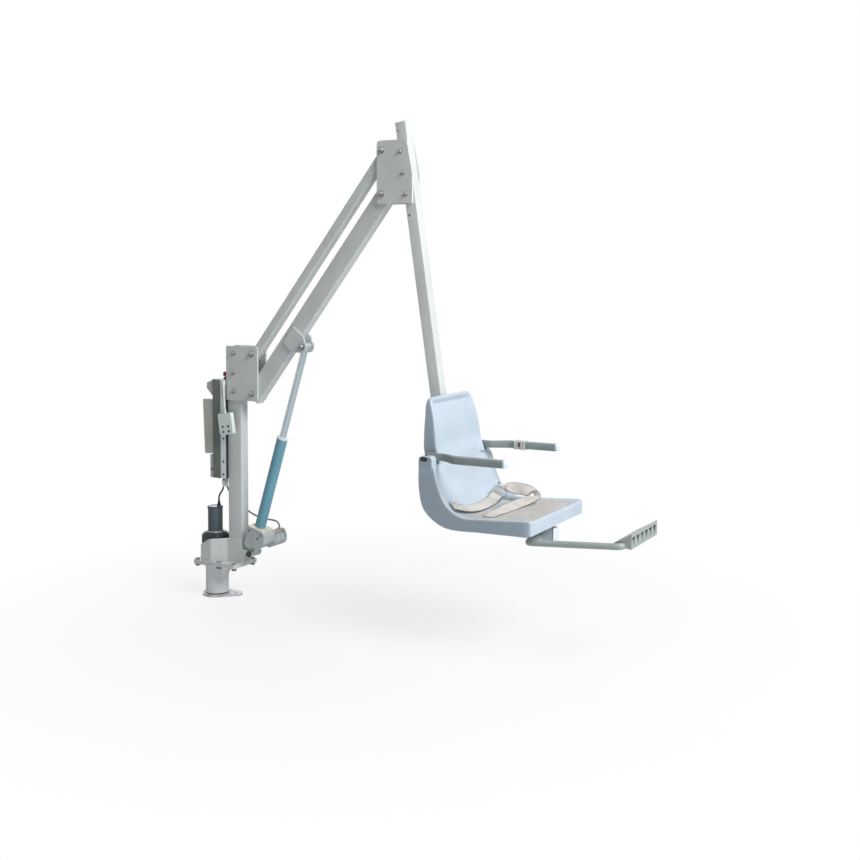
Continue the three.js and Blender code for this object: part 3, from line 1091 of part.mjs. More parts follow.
addPiece('actuator_tube', turned([
  [0, tubeFoot],
  [ACTUATOR_TUBE_RADIUS, tubeFoot],
  [ACTUATOR_TUBE_RADIUS, ACTUATOR_TUBE_TOP],
  [ACTUATOR_TUBE_RADIUS - ACTUATOR_TUBE_WALL, ACTUATOR_TUBE_TOP],
  [ACTUATOR_TUBE_RADIUS - ACTUATOR_TUBE_WALL, BORE_FOOT],
  [0, BORE_FOOT],
]), materials.actuatorTube, actuatorFrame);
const collarFrom = ACTUATOR_TUBE_TOP + GAP;
addPiece('actuator_collar', ring(
  ROD_RADIUS + GAP, ACTUATOR_TUBE_RADIUS + COLLAR_OVERHANG, collarFrom, collarFrom + COLLAR_LENGTH,
), materials.tray, actuatorFrame);

// Rod: a bar with a bored eye between the lugs
const rodFoot = BORE_FOOT + STROKE + ROD_RESERVE;
const rodBar = upright(0, 0, ROD_RADIUS, rodFoot, actuatorLength);
const eye = crossPin(0, actuatorLength, EYE_RADIUS, -EYE_HALF_WIDTH, EYE_HALF_WIDTH, ROUND_FACETS);
const eyeBore = crossPin(0, actuatorLength, EYE_BORE_RADIUS, -OVERRUN, OVERRUN, BORE_FACETS);
addPiece('actuator_rod', cut(join(rodBar, eye), eyeBore), materials.rod, actuatorFrame);

// Belt: ribbons through stations of centre and width direction, from beside the buckle to the place across
function ribbon(stations, fromY, toY) {
  const centres = stations.map(([across, ahead, above]) => {
    const x = BUCKLE.x + ahead * WEBBING.width;
    return new THREE.Vector3(x, fromY + across * (toY - fromY), BUCKLE.z + above * WEBBING.width);
  });
  const widths = stations.map((station) => new THREE.Vector3(...station.slice(3)));
  const centreCurve = new THREE.CatmullRomCurve3(centres, false, 'centripetal');
  const widthCurve = new THREE.CatmullRomCurve3(widths, false, 'centripetal');
  const steps = WEBBING.steps + stations.length;
  const rings = Array.from({ length: steps + 1 }, (unused, step) => {
    const centre = centreCurve.getPoint(step / steps);
    const tangent = centreCurve.getTangent(step / steps);
    const wide = widthCurve.getPoint(step / steps);
    wide.addScaledVector(tangent, -wide.dot(tangent)).setLength(WEBBING.width / 2);
    const thick = tangent.clone().cross(wide).setLength(WEBBING.thickness / 2);
    return [[1, 1], [-1, 1], [-1, -1], [1, -1]].map(([across, up]) => {
      const point = centre.clone().addScaledVector(wide, across).addScaledVector(thick, up);
      return point.toArray();
    });
  });
  return loft(rings);
}
const strapSide = SEAT_HALF_WIDTH - STRAP_SET_IN;
const buckleY = SEAT_HALF_WIDTH * BUCKLE_ACROSS_SHARE;
const nearStrap = ribbon(NEAR_STRAP_SHARES, buckleY - STRAP_REACH, -strapSide);
const farStrap = ribbon(FAR_STRAP_SHARES, buckleY + STRAP_REACH, strapSide);
const tailStrap = ribbon(TAIL_STRAP_SHARES, buckleY + TAIL_REACH, TAIL_SET_IN - SEAT_HALF_WIDTH);
addPiece('belt_near', nearStrap, materials.belt, seatFrame);
addPiece('belt_far', farStrap, materials.belt, seatFrame);
addPiece('belt_tail', tailStrap, materials.belt, seatFrame);
const halfBuckle = BUCKLE.width / 2;
const buckleShape = rectangle(-halfBuckle, halfBuckle, -BUCKLE.length / 2, BUCKLE.length / 2, BUCKLE.corner);
const buckle = flatSlab(buckleShape, -BUCKLE.thickness / 2, BUCKLE.thickness / 2);
const buckleMesh = addPiece('belt_buckle', buckle, materials.black, seatFrame);
buckleMesh.position.set(BUCKLE.x, buckleY, BUCKLE.z);
buckleMesh.rotation.x = BUCKLE_TILT;

// Cords
function cord(points) {
  const route = points.map(([x, y, z]) => new THREE.Vector3(x, y, z));
  const curve = new THREE.CatmullRomCurve3(route, false, 'centripetal');
  const steps = Math.round(curve.getLength() / (CORD_RADIUS * 5));
  return bar(curve, CORD_RADIUS, CORD_SIDES, steps);
}
addPiece('handset_cord', cord(HANDSET_CORD), materials.handset);
addPiece('slew_motor_cord', cord(SLEW_CORD), materials.black);
addPiece('lift_motor_cord', cord(LIFT_CORD), materials.battery);

export default lift;
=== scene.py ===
import math

import bmesh
import bpy
import numpy as np
from mathutils import Matrix, Vector, noise


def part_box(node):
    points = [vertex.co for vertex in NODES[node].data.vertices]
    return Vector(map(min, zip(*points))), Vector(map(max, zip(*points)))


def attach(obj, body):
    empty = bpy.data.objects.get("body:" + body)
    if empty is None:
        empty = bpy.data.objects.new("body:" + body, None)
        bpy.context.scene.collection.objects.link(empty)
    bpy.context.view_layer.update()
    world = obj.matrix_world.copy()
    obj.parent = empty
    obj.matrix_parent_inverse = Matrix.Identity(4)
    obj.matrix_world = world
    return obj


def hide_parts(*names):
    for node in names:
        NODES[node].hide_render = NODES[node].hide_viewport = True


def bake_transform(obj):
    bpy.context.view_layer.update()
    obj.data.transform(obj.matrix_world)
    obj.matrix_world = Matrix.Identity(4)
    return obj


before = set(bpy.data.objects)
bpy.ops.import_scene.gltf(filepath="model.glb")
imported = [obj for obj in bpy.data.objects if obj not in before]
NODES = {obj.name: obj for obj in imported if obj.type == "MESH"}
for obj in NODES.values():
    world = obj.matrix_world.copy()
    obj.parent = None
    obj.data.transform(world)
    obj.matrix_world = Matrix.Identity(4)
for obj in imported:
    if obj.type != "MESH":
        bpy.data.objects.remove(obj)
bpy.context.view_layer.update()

# Directions and sides
UP, DOWN = (0, 0, 1), (0, 0, -1)
NEAR, FAR = (0, -1, 0), (0, 1, 0)
SIDES = ((-1, "near"), (1, "far"))

# Sizes shared with the CAD model, in metres
MM = 0.001
ARM_ANGLE = math.radians(52)
ARM_LENGTH = 1.104
ALONG_ARM = Vector((math.cos(ARM_ANGLE), 0, math.sin(ARM_ANGLE)))
BELOW_ARM = Vector((math.sin(ARM_ANGLE), 0, -math.cos(ARM_ANGLE)))
LUG_ALONG = 0.340
LUG_BELOW = 0.078
PIVOT = Vector((0.232, 0, 0.946))
SPACING = Vector((0, 0, 0.180))
HEAD = PIVOT + ARM_LENGTH * ALONG_ARM
PLATE_OUTER = 0.0349
POST_TOP = Vector((0.9956, 0, 2.1095))
POST_LEAN = math.radians(8.6)
BASE_PIN = Vector((0.211, 0, 0.218))
LUG_PIN = PIVOT + LUG_ALONG * ALONG_ARM + LUG_BELOW * BELOW_ARM
ROD_AXIS = (LUG_PIN - BASE_PIN).normalized()
BASE_TOP = 0.1713
BASE_UNDERSIDE = 0.152
CHANNEL_FACE = -0.0401
BOX_SEAM = 0.013

# Camera, fitted to the photo: angles, place, focal length and middle row in pixels
AZIMUTH, PITCH, ROLL = math.radians(28.8), math.radians(3.69), math.radians(0.12)
CAMERA_PLACE = (3.4796, -4.2829, 1.4737)
PHOTO_SIZE = 860
FOCAL = 1185.4
MIDDLE_ROW = 353
SENSOR = 36


def make_camera():
    """The camera of the photo, as the scene's camera."""
    ca, sa, cp, sp = math.cos(AZIMUTH), math.sin(AZIMUTH), math.cos(PITCH), math.sin(PITCH)
    forward = Vector((-sa * cp, ca * cp, -sp))
    level = Vector((ca, sa, 0))
    above = level.cross(forward)
    right = math.cos(ROLL) * level + math.sin(ROLL) * above
    up = math.cos(ROLL) * above - math.sin(ROLL) * level
    data = bpy.data.cameras.new("camera")
    data.sensor_width = SENSOR
    data.lens = FOCAL / PHOTO_SIZE * SENSOR
    data.shift_y = (MIDDLE_ROW - PHOTO_SIZE / 2) / PHOTO_SIZE
    data.clip_end = 60
    camera = bpy.data.objects.new("camera", data)
    turn = Matrix((right, up, -forward)).transposed().to_4x4()
    camera.matrix_world = Matrix.Translation(CAMERA_PLACE) @ turn
    bpy.context.scene.collection.objects.link(camera)
    bpy.context.scene.camera = camera


make_camera()


# Materials
def linear(r, g, b):
    """The linear colour of a screen colour given in 0 to 255."""
    def one(c):
        c /= 255
        return c / 12.92 if c <= 0.04045 else ((c + 0.055) / 1.055) ** 2.4
    return (one(r), one(g), one(b), 1)


def shade(color, factor):
    """A colour made darker or lighter."""
    return (color[0] * factor, color[1] * factor, color[2] * factor, 1)


class Nodes:
    """The node tree of a material or a world, built a node at a time."""

    def __init__(self, owner):
        owner.use_nodes = True
        self.tree = owner.node_tree
        self.tree.nodes.clear()

    def put(self, socket, value):
        if isinstance(value, bpy.types.NodeSocket):
            self.tree.links.new(value, socket)
        else:
            socket.default_value = value

    def node(self, kind, inputs=None, **settings):
        made = self.tree.nodes.new(kind)
        for key, value in settings.items():
            setattr(made, key, value)
        for key, value in (inputs or {}).items():
            self.put(made.inputs[key], value)
        return made

    def math(self, operation, a, b=0.0):
        return self.node("ShaderNodeMath", {0: a, 1: b}, operation=operation).outputs[0]

    def times(self, a, b):
        return self.math("MULTIPLY", a, b)


class Shader(Nodes):
    """A Principled material whose patterns lie on the object coordinates."""

    def __init__(self, name, roughness, metallic=0.0):
        self.material = bpy.data.materials.new(name)
        super().__init__(self.material)
        self.bsdf = self.node("ShaderNodeBsdfPrincipled", {"Roughness": roughness, "Metallic": metallic})
        self.out = self.node("ShaderNodeOutputMaterial", {"Surface": self.bsdf.outputs[0]})
        self.coords = self.node("ShaderNodeTexCoord").outputs["Object"]

    def set(self, name, value):
        self.put(self.bsdf.inputs[name], value)

    def split(self, vector):
        return self.node("ShaderNodeSeparateXYZ", {"Vector": vector}).outputs

    def noise(self, scale, detail=4.0, rough=0.55, distortion=0.0):
        """Noise of one scale, or of a scale for each axis."""
        vector = self.coords
        if isinstance(scale, tuple):
            vector = self.node("ShaderNodeMapping", {"Vector": vector, "Scale": scale}).outputs[0]
            scale = 1.0
        return self.node("ShaderNodeTexNoise", {
            "Vector": vector, "Scale": scale, "Detail": detail, "Roughness": rough, "Distortion": distortion,
        }).outputs[0]

    def ramp(self, value, low, high, start=0.0, end=1.0):
        """A smooth step between two values."""
        return self.node("ShaderNodeMapRange", {
            "Value": value, "From Min": low, "From Max": high, "To Min": start, "To Max": end,
        }, interpolation_type="SMOOTHSTEP").outputs[0]

    def cloud(self, *grain):
        """Soft patches of noise, 0 to 1."""
        return self.ramp(self.noise(*grain), 0.3, 0.7)

    def mix(self, factor, a, b):
        return self.node("ShaderNodeMix", {"Factor": factor, 6: a, 7: b}, data_type="RGBA").outputs[2]

    def stain(self, tone, mask, amount, color):
        """Lays a colour over a tone where the mask is, as strongly as the amount says."""
        return self.mix(self.times(mask, amount), tone, color)

    def scuffs(self, tone, amount, color):
        """Long faint marks of handling."""
        marks = self.ramp(self.noise((60, 60, 14), 4.0, 0.6, 0.6), 0.6, 0.74)
        return self.stain(tone, marks, amount, color)

    def bump(self, height, distance, normal=None):
        inputs = {"Height": height, "Distance": distance, "Strength": 1.0}
        if normal is not None:
            inputs["Normal"] = normal
        return self.node("ShaderNodeBump", inputs).outputs[0]

    def finish(self, tone, sheen, roughness, height, distance, spread=(0.3, 0.7)):
        """Sets the colour, a roughness between two limits that follows the sheen, and the fine relief."""
        self.set("Base Color", tone)
        self.set("Roughness", self.ramp(sheen, *spread, *roughness))
        self.set("Normal", self.bump(height, distance))
        return self.material

    def moulded(self, tone, roughness):
        """The finish of moulded plastic: slightly uneven sheen and a fine grain."""
        limits = (roughness - 0.08, roughness + 0.1)
        return self.finish(tone, self.noise(30.0), limits, self.noise(900.0, 2.0), 0.00005)


def paint(name, rgb, roughness, speck, dirt=0.0, dirt_top=0.0, peel=0.00006):
    """Powder coat or satin paint: cloudy tone, orange peel, small chips and dust that gathers low down."""
    s = Shader(name, roughness)
    color = linear(*rgb)
    tone = s.mix(s.cloud(5.0, 5.0), shade(color, 0.94), shade(color, 1.04))
    smear = s.ramp(s.noise((30, 30, 7), 6.0, 0.65), 0.52, 0.72)
    tone = s.stain(tone, smear, 0.22, shade(color, 0.72))
    chips = s.ramp(s.noise(150.0, 2.0, 0.5), 0.72, 0.76)
    spots = s.times(chips, s.ramp(s.noise(9.0, 3.0), 0.54, 0.66))
    tone = s.stain(tone, spots, speck, linear(104, 84, 66))
    if dirt > 0:
        low = s.ramp(s.split(s.coords)[2], dirt_top, 0.0)
        grime = s.times(low, s.ramp(s.noise(26.0, 6.0, 0.7), 0.42, 0.68))
        tone = s.stain(tone, grime, dirt, linear(132, 112, 92))
    limits = (roughness - 0.07, roughness + 0.1)
    return s.finish(tone, s.noise(18.0), limits, s.noise(260.0, 2.0), peel, (0.25, 0.75))


def bare_metal(name, rgb, roughness, drawn=(0.4, 0.4, 0.4), tarnish=0.25):
    """Machined or plated metal: fine drawn lines, faint stains."""
    s = Shader(name, roughness, 1.0)
    color = linear(*rgb)
    lines = s.noise(tuple(900 * a for a in drawn), 2.0, 0.5)
    tone = s.stain(color, s.ramp(s.noise(38.0, 5.0, 0.65), 0.5, 0.75), tarnish, shade(color, 0.55))
    tone = s.mix(s.ramp(lines, 0.3, 0.7), shade(color, 0.88), tone)
    return s.finish(tone, s.noise(60.0), (roughness - 0.08, roughness + 0.16), lines, 0.00002)


def plastic(name, rgb, roughness, scuff=0.15, dust=0.0):
    """Moulded plastic: fine spark-eroded grain, slightly uneven sheen, scuffs."""
    s = Shader(name, roughness)
    color = linear(*rgb)
    tone = s.mix(s.cloud(9.0), shade(color, 0.93), shade(color, 1.05))
    tone = s.scuffs(tone, scuff, shade(color, 1.5))
    if dust > 0:
        settled = s.ramp(s.noise(16.0, 6.0, 0.7), 0.45, 0.7)
        tone = s.stain(tone, settled, dust, linear(150, 142, 128))
    return s.moulded(tone, roughness)


def box_plastic():
    """The control box: a pale rear cover on a dark body, which meet at one plane."""
    s = Shader("box_plastic", 0.5)
    cloud = s.cloud(9.0)
    rear = s.mix(cloud, linear(186, 189, 182), linear(200, 203, 196))
    body = s.mix(cloud, linear(104, 112, 106), linear(122, 130, 124))
    tone = s.mix(s.ramp(s.split(s.coords)[0], BOX_SEAM - 0.0005, BOX_SEAM + 0.0005), rear, body)
    return s.moulded(s.scuffs(tone, 0.2, linear(150, 148, 138)), 0.5)


def rubber(name, rgb, roughness):
    """Rubber, cord and gasket: matt, with a fine grain."""
    s = Shader(name, roughness)
    color = linear(*rgb)
    tone = s.mix(s.cloud(40.0), shade(color, 0.8), shade(color, 1.3))
    limits = (roughness - 0.12, roughness + 0.12)
    return s.finish(tone, s.noise(70.0, 3.0), limits, s.noise(1400.0, 2.0), 0.00004)


def seat_plastic():
    """Pale blue moulding: fine grain, painted shade on the faces that point across the seat, and on the front of
    the pan a scuffed beige patch with pale scratches.
    """
    s = Shader("seat_plastic", 0.36)
    s.set("Coat Weight", 0.12)
    s.set("Coat Roughness", 0.25)
    base = linear(196, 211, 223)
    tone = s.mix(s.cloud(7.0, 5.0), shade(base, 0.95), shade(base, 1.03))
    # Painted shade: faces that point across the seat, the skirts on both sides, are painted darker, as shade
    # falls on them.
    facing = s.split(s.node("ShaderNodeTexCoord").outputs["Normal"])[1]
    side = s.ramp(s.math("ABSOLUTE", facing), 0.55, 0.95)
    tone = s.stain(tone, side, 0.55, linear(128, 145, 154))
    haze = s.ramp(s.noise((18, 5, 18), 6.0, 0.7), 0.5, 0.75)
    tone = s.stain(tone, haze, 0.25, linear(176, 190, 200))

    # Where the patch is: its limits along the seat, across it and in height, with a ragged edge
    x, y, z = s.split(s.coords)
    ragged = s.noise(14.0, 5.0, 0.65)
    past_rear = s.ramp(s.math("ADD", x, s.times(ragged, 0.07)), 1.40, 1.47)
    before_front = s.ramp(s.math("ADD", x, s.times(ragged, 0.03)), 1.715, 1.694)
    off_middle = s.math("ABSOLUTE", s.math("SUBTRACT", y, 0.010))
    inside_y = s.ramp(s.math("ADD", off_middle, s.times(ragged, 0.04)), 0.262, 0.238)
    on_top = s.times(s.ramp(z, 0.520, 0.530), s.ramp(z, 0.580, 0.556))
    patch = s.times(s.times(s.times(past_rear, before_front), inside_y), on_top)

    # What is in it: brushed beige, brown stains and thin scratches along the width
    grain = s.noise((150, 9, 150), 6.0, 0.7, 0.4)
    worn = s.mix(s.ramp(grain, 0.35, 0.68), linear(180, 176, 172), linear(212, 208, 203))
    brown = s.ramp(s.noise((26, 7, 26), 5.0, 0.6), 0.45, 0.65)
    worn = s.stain(worn, brown, 0.45, linear(190, 176, 160))
    thin_places = s.ramp(s.noise((60, 12, 60), 5.0, 0.7), 0.2, 0.5, 0.7, 1.0)
    tone = s.stain(tone, patch, thin_places, worn)
    scratch = s.ramp(s.noise((420, 13, 420), 3.0, 0.6, 1.2), 0.63, 0.68)
    scratch = s.times(scratch, s.ramp(s.noise(11.0, 3.0), 0.46, 0.6))
    tone = s.stain(tone, scratch, patch, linear(244, 243, 238))

    s.set("Base Color", tone)
    sheen = s.ramp(s.noise(24.0), 0.3, 0.7, 0.3, 0.44)
    s.set("Roughness", s.math("ADD", sheen, s.times(patch, 0.25)))
    fine = s.bump(s.noise(1100.0, 2.0), 0.00005)
    s.set("Normal", s.bump(s.times(grain, patch), 0.00022, fine))
    return s.material


def webbing(name, rgb, edge_rgb):
    """Woven strap: UV x runs across it and y along it, in metres."""
    s = Shader(name, 0.85)
    s.set("Sheen Weight", 0.25)
    s.set("Sheen Roughness", 0.5)
    color = linear(*rgb)
    across, along, _ = s.split(s.node("ShaderNodeTexCoord").outputs["UV"])

    def turns(place, period):
        return s.times(place, 2 * math.pi / period)

    weft = s.math("SINE", turns(along, 0.0016))
    warp = s.math("SINE", turns(across, 0.0024))
    twill = s.math("SINE", s.math("ADD", turns(along, 0.0042), turns(across, 0.006)))
    weave = s.math("ADD", s.times(weft, warp), s.times(twill, 0.4))
    tone = s.mix(s.cloud(24.0, 5.0, 0.65), shade(color, 0.84), shade(color, 1.06))
    tone = s.mix(s.ramp(weave, -1.0, 1.0, 0.28, 0.0), tone, shade(color, 0.5))
    soiled = s.ramp(s.noise(9.0, 5.0, 0.7), 0.48, 0.68)
    tone = s.stain(tone, soiled, 0.4, linear(188, 176, 158))
    selvedge = s.ramp(s.math("ABSOLUTE", across), 0.0222, 0.0238)
    tone = s.stain(tone, selvedge, 0.9, linear(*edge_rgb))
    s.set("Base Color", tone)
    s.set("Normal", s.bump(weave, 0.00022))
    return s.material


M = {
    "frame": paint("frame_paint", (217, 221, 220), 0.42, 0.3, 0.2, 0.3),
    "channel": paint("channel_paint", (236, 243, 247), 0.4, 0.2),
    "seat_tube": paint("seat_tube_paint", (178, 190, 198), 0.42, 0.2),
    "foot": paint("foot_paint", (164, 172, 170), 0.38, 0.3),
    "deck": paint("deck_paint", (218, 220, 223), 0.5, 0.6, 0.45, 0.05),
    "sleeve": paint("sleeve_paint", (242, 244, 246), 0.48, 0.5, 0.3, 0.05),
    "steel": bare_metal("steel", (160, 160, 157), 0.24, (0.3, 0.3, 0.3)),
    "dark_steel": bare_metal("dark_steel", (84, 86, 86), 0.4),
    "nut_steel": bare_metal("nut_steel", (92, 104, 100), 0.5, tarnish=0.5),
    "rust": bare_metal("rusty_steel", (122, 92, 70), 0.6, tarnish=0.7),
    "bronze": bare_metal("bronze", (168, 140, 86), 0.4, (1, 1, 1)),
    "rod": bare_metal("rod_metal", (206, 220, 225), 0.34, (1, 1, 0.05), 0.12),
    "black": plastic("black_plastic", (34, 36, 38), 0.55),
    "rubber": rubber("rubber", (26, 27, 29), 0.7),
    "slew": paint("slew_motor_paint", (72, 82, 92), 0.4, 0.2, peel=0.00009),
    "slew_dark": paint("slew_gearbox_paint", (66, 71, 76), 0.46, 0.7, peel=0.00009),
    "housing": paint("actuator_housing_paint", (194, 202, 202), 0.42, 0.15, peel=0.00008),
    "teal": paint("actuator_tube_paint", (112, 168, 186), 0.36, 0.15, peel=0.00004),
    "gasket": rubber("gasket", (228, 224, 208), 0.6),
    "collar": plastic("white_plastic", (240, 241, 240), 0.35),
    "box": box_plastic(),
    "battery": plastic("battery_plastic", (198, 199, 190), 0.48, dust=0.15),
    "handset": plastic("handset_plastic", (234, 248, 241), 0.42, dust=0.06),
    "key": plastic("key_plastic", (62, 70, 70), 0.5),
    "stop": plastic("stop_red", (176, 6, 10), 0.3, scuff=0.05),
    "armrest": plastic("armrest_plastic", (140, 151, 151), 0.42, dust=0.08),
    "armrest_cap": plastic("armrest_cap", (226, 238, 244), 0.4),
    "buckle": plastic("buckle_plastic", (176, 180, 182), 0.45),
    "keeper": plastic("strap_keeper_plastic", (206, 203, 196), 0.6),
    "seat": seat_plastic(),
    "webbing": webbing("webbing", (236, 231, 225), (84, 80, 76)),
    "cord_white": rubber("cord_white", (226, 229, 224), 0.5),
    "cord_grey": rubber("cord_grey", (140, 134, 126), 0.55),
    "cord_black": rubber("cord_black", (30, 30, 32), 0.5),
    "loom": rubber("loom_grey", (178, 174, 166), 0.6),
}

# The CAD pieces that don't have the frame's paint
CAD_MATERIALS = {
    "deck_flange": "deck", "spindle": "steel", "thrust_washer": "rubber", "box_channel": "channel",
    "seat_tube": "seat_tube", "turning_sleeve": "sleeve", "lower_bush": "bronze", "upper_bush": "bronze",
    "slew_gearbox": "slew_dark", "slew_motor": "slew", "slew_motor_boot": "rubber", "control_box": "box",
    "battery": "battery", "stop_collar": "black", "mast_pivot_lower": "steel", "mast_pivot_upper": "steel",
    "post_pivot_lower": "steel", "post_pivot_upper": "steel", "actuator_base_pin": "dark_steel",
    "actuator_gearbox": "housing", "actuator_motor": "housing", "actuator_gasket": "gasket",
    "actuator_tube": "teal", "actuator_collar": "collar", "actuator_rod": "rod", "footrest_tray": "foot",
    "handset": "handset", "seat_shell": "seat",
}

# Edges and shading, as modifiers
SHARP_ANGLE = math.radians(31)
WELD_DISTANCE = 0.00002
EDGE_WIDTH = 0.0009
EDGE_WIDTHS = {
    "handset": 0.005, "battery": 0.006, "control_box": 0.0014, "slew_gearbox": 0.005, "slew_motor": 0.0025,
    "footrest_tray": 0.0005, "actuator_gearbox": 0.0016, "box_channel": 0.0004, "mast_tube": 0.0010,
    "main_arm_tube": 0.0014, "upper_link_tube": 0.0014, "post_tube": 0.0010, "seat_tube": 0.0010,
}
WIDE_EDGE = 0.004


def make_smoother():
    """A geometry node group: welds the corners, then shades smooth across all but the sharp edges."""
    tree = bpy.data.node_groups.new("weld_and_smooth", "GeometryNodeTree")
    for way in ("INPUT", "OUTPUT"):
        tree.interface.new_socket("Geometry", in_out=way, socket_type="NodeSocketGeometry")
    kinds = ("NodeGroupInput", "GeometryNodeMergeByDistance", "GeometryNodeSetShadeSmooth",
             "GeometryNodeSetShadeSmooth", "NodeGroupOutput")
    chain = [tree.nodes.new(kind) for kind in kinds]
    for before, after in zip(chain, chain[1:]):
        tree.links.new(before.outputs[0], after.inputs[0])
    _, weld, faces, edges, _ = chain
    weld.inputs["Distance"].default_value = WELD_DISTANCE
    faces.domain = "FACE"
    edges.domain = "EDGE"
    angle = tree.nodes.new("GeometryNodeInputMeshEdgeAngle")
    small = tree.nodes.new("FunctionNodeCompare")
    small.data_type = "FLOAT"
    small.operation = "LESS_EQUAL"
    small.inputs[1].default_value = SHARP_ANGLE
    tree.links.new(angle.outputs["Unsigned Angle"], small.inputs[0])
    tree.links.new(small.outputs[0], edges.inputs["Shade Smooth"])
    return tree


SMOOTHER = make_smoother()


def weld_and_smooth(obj):
    obj.modifiers.new("weld", "NODES").node_group = SMOOTHER


def soften(obj, width, segments):
    """Welds, rounds the sharp edges a little and shades the rest smooth."""
    weld_and_smooth(obj)
    if width > 0:
        bevel = obj.modifiers.new("edge", "BEVEL")
        bevel.width = width
        bevel.segments = segments
        bevel.limit_method = "ANGLE"
        bevel.angle_limit = SHARP_ANGLE
        bevel.harden_normals = True
        bevel.use_clamp_overlap = True


def thicken(obj, thickness, offset):
    """Gives a sheet its thickness: offset 0 for both sides, -1 for the inside."""
    solid = obj.modifiers.new("thickness", "SOLIDIFY")
    solid.thickness = thickness
    solid.offset = offset


for name, obj in NODES.items():
    obj.data.materials.clear()
    obj.data.materials.append(M[CAD_MATERIALS.get(name, "frame")])
    width = EDGE_WIDTHS.get(name, EDGE_WIDTH)
    soften(obj, width, 4 if width > WIDE_EDGE else 2)


# Meshes: a part is a pair of vertices and faces
def ease(share):
    """A smooth step from 0 to 1, held past its ends."""
    share = min(max(share, 0), 1)
    return share * share * (3 - 2 * share)


def mesh_of(name, part):
    mesh = bpy.data.meshes.new(name)
    mesh.from_pydata([tuple(v) for v in part[0]], [], part[1])
    return mesh


def add_object(name, data, material):
    data.materials.append(M[material])
    obj = bpy.data.objects.new(name, data)
    bpy.context.scene.collection.objects.link(obj)
    return obj


def add_mesh(name, part, material, body, edge=0.0, segments=2, smooth=True):
    """A piece of a part, riding on a body."""
    mesh = mesh_of(name, part)
    mesh.validate()
    made = bmesh.new()
    made.from_mesh(mesh)
    bmesh.ops.recalc_face_normals(made, faces=made.faces)
    made.to_mesh(mesh)
    made.free()
    obj = add_object(name, mesh, material)
    if smooth:
        soften(obj, edge, segments)
    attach(obj, body)
    return obj


def placed(part, matrix):
    vertices, faces = part
    return [matrix @ Vector(v) for v in vertices], faces


def merge(*parts):
    """Several parts as one."""
    vertices, faces = [], []
    for v, f in parts:
        start = len(vertices)
        vertices += list(v)
        faces += [tuple(i + start for i in face) for face in f]
    return vertices, faces


def grid(rows, columns, closed=False):
    """Four-cornered faces between rows of points; closed rows run on to their own start."""
    steps = [(k, (k + 1) % columns) for k in range(columns if closed else columns - 1)]
    return [(a + k, a + n, a + columns + n, a + columns + k)
            for a in range(0, (rows - 1) * columns, columns) for k, n in steps]


def loft(rings, ends=True):
    """A skin over closed rings of points, shut at both ends."""
    n = len(rings[0])
    vertices = [p for ring in rings for p in ring]
    faces = grid(len(rings), n, True)
    if ends:
        faces += [tuple(range(n)), tuple(range(len(vertices) - n, len(vertices)))]
    return vertices, faces


def arc(x, z, radius, start, step, count):
    """Points on a circle, from one angle on by steps, in degrees."""
    angles = [math.radians(start + step * k) for k in range(count)]
    return [(x + radius * math.cos(a), z + radius * math.sin(a)) for a in angles]


def basis(axis):
    """Two directions square to an axis of length 1."""
    hint = Vector(UP) if abs(axis.z) <= 0.95 else Vector((1, 0, 0))
    u = (hint - axis * hint.dot(axis)).normalized()
    return u, axis.cross(u)


def lathe(profile, centre, axis, facets, phase=0.0):
    """[radius, height] points turned about an axis; closed where the profile meets the axis."""
    centre, axis = Vector(centre), Vector(axis).normalized()
    u, v = basis(axis)
    angles = [phase + 2 * math.pi * k / facets for k in range(facets)]
    vertices, rings = [], []
    for radius, height in profile:
        start = len(vertices)
        middle = centre + axis * height
        spokes = [u * math.cos(a) + v * math.sin(a) for a in angles] if radius > 0 else [Vector()]
        vertices += [middle + spoke * radius for spoke in spokes]
        rings.append(range(start, len(vertices)))
    faces = []
    for a, b in zip(rings, rings[1:]):
        for k in range(facets):
            n = (k + 1) % facets
            corners = (a[k % len(a)], a[n % len(a)], b[n % len(b)], b[k % len(b)])
            face = tuple(dict.fromkeys(corners))
            if len(face) > 2:
                faces.append(face)
    return vertices, faces


def band(inner, outer, half, chamfer, centre, axis):
    """A ring of rectangular section round an axis, its outer edges chamfered by a little."""
    profile = [(inner, -half), (outer, chamfer - half), (outer, half - chamfer), (inner, half)]
    return lathe(profile, centre, axis, 40)


def tube(points, radius, sides=16):
    """A round tube along points, with a steady frame."""
    points = [Vector(p) for p in points]
    tangents = [(b - a).normalized() for a, b in zip([points[0]] + points, points[1:] + [points[-1]])]
    u, _ = basis(tangents[0])
    rings = []
    for i, (p, t) in enumerate(zip(points, tangents)):
        if i:
            u = tangents[i - 1].rotation_difference(t) @ u
        w = t.cross(u)
        rings.append([p + (u * c + w * s) * radius for c, s in arc(0, 0, 1, 0, 360 / sides, sides)])
    return loft(rings)


def rounded_box(low, high, radius):
    """A box with all its edges rounded."""
    made = bmesh.new()
    bmesh.ops.create_cube(made, size=1)
    low, high = Vector(low), Vector(high)
    for v in made.verts:
        v.co = Vector((low[i] + (v.co[i] + 0.5) * (high[i] - low[i]) for i in range(3)))
    bmesh.ops.bevel(made, geom=list(made.edges), offset=radius, segments=3, profile=0.5, affect="EDGES")
    made.verts.index_update()
    vertices = [v.co.copy() for v in made.verts]
    faces = [tuple(v.index for v in f.verts) for f in made.faces]
    made.free()
    return vertices, faces


def boxes(rows, matrix):
    """Rounded boxes in millimetres, each from its low corner, high corner and edge radius, put in place."""
    made = [rounded_box([c * MM for c in low], [c * MM for c in high], r * MM) for low, high, r in rows]
    return placed(merge(*made), matrix)


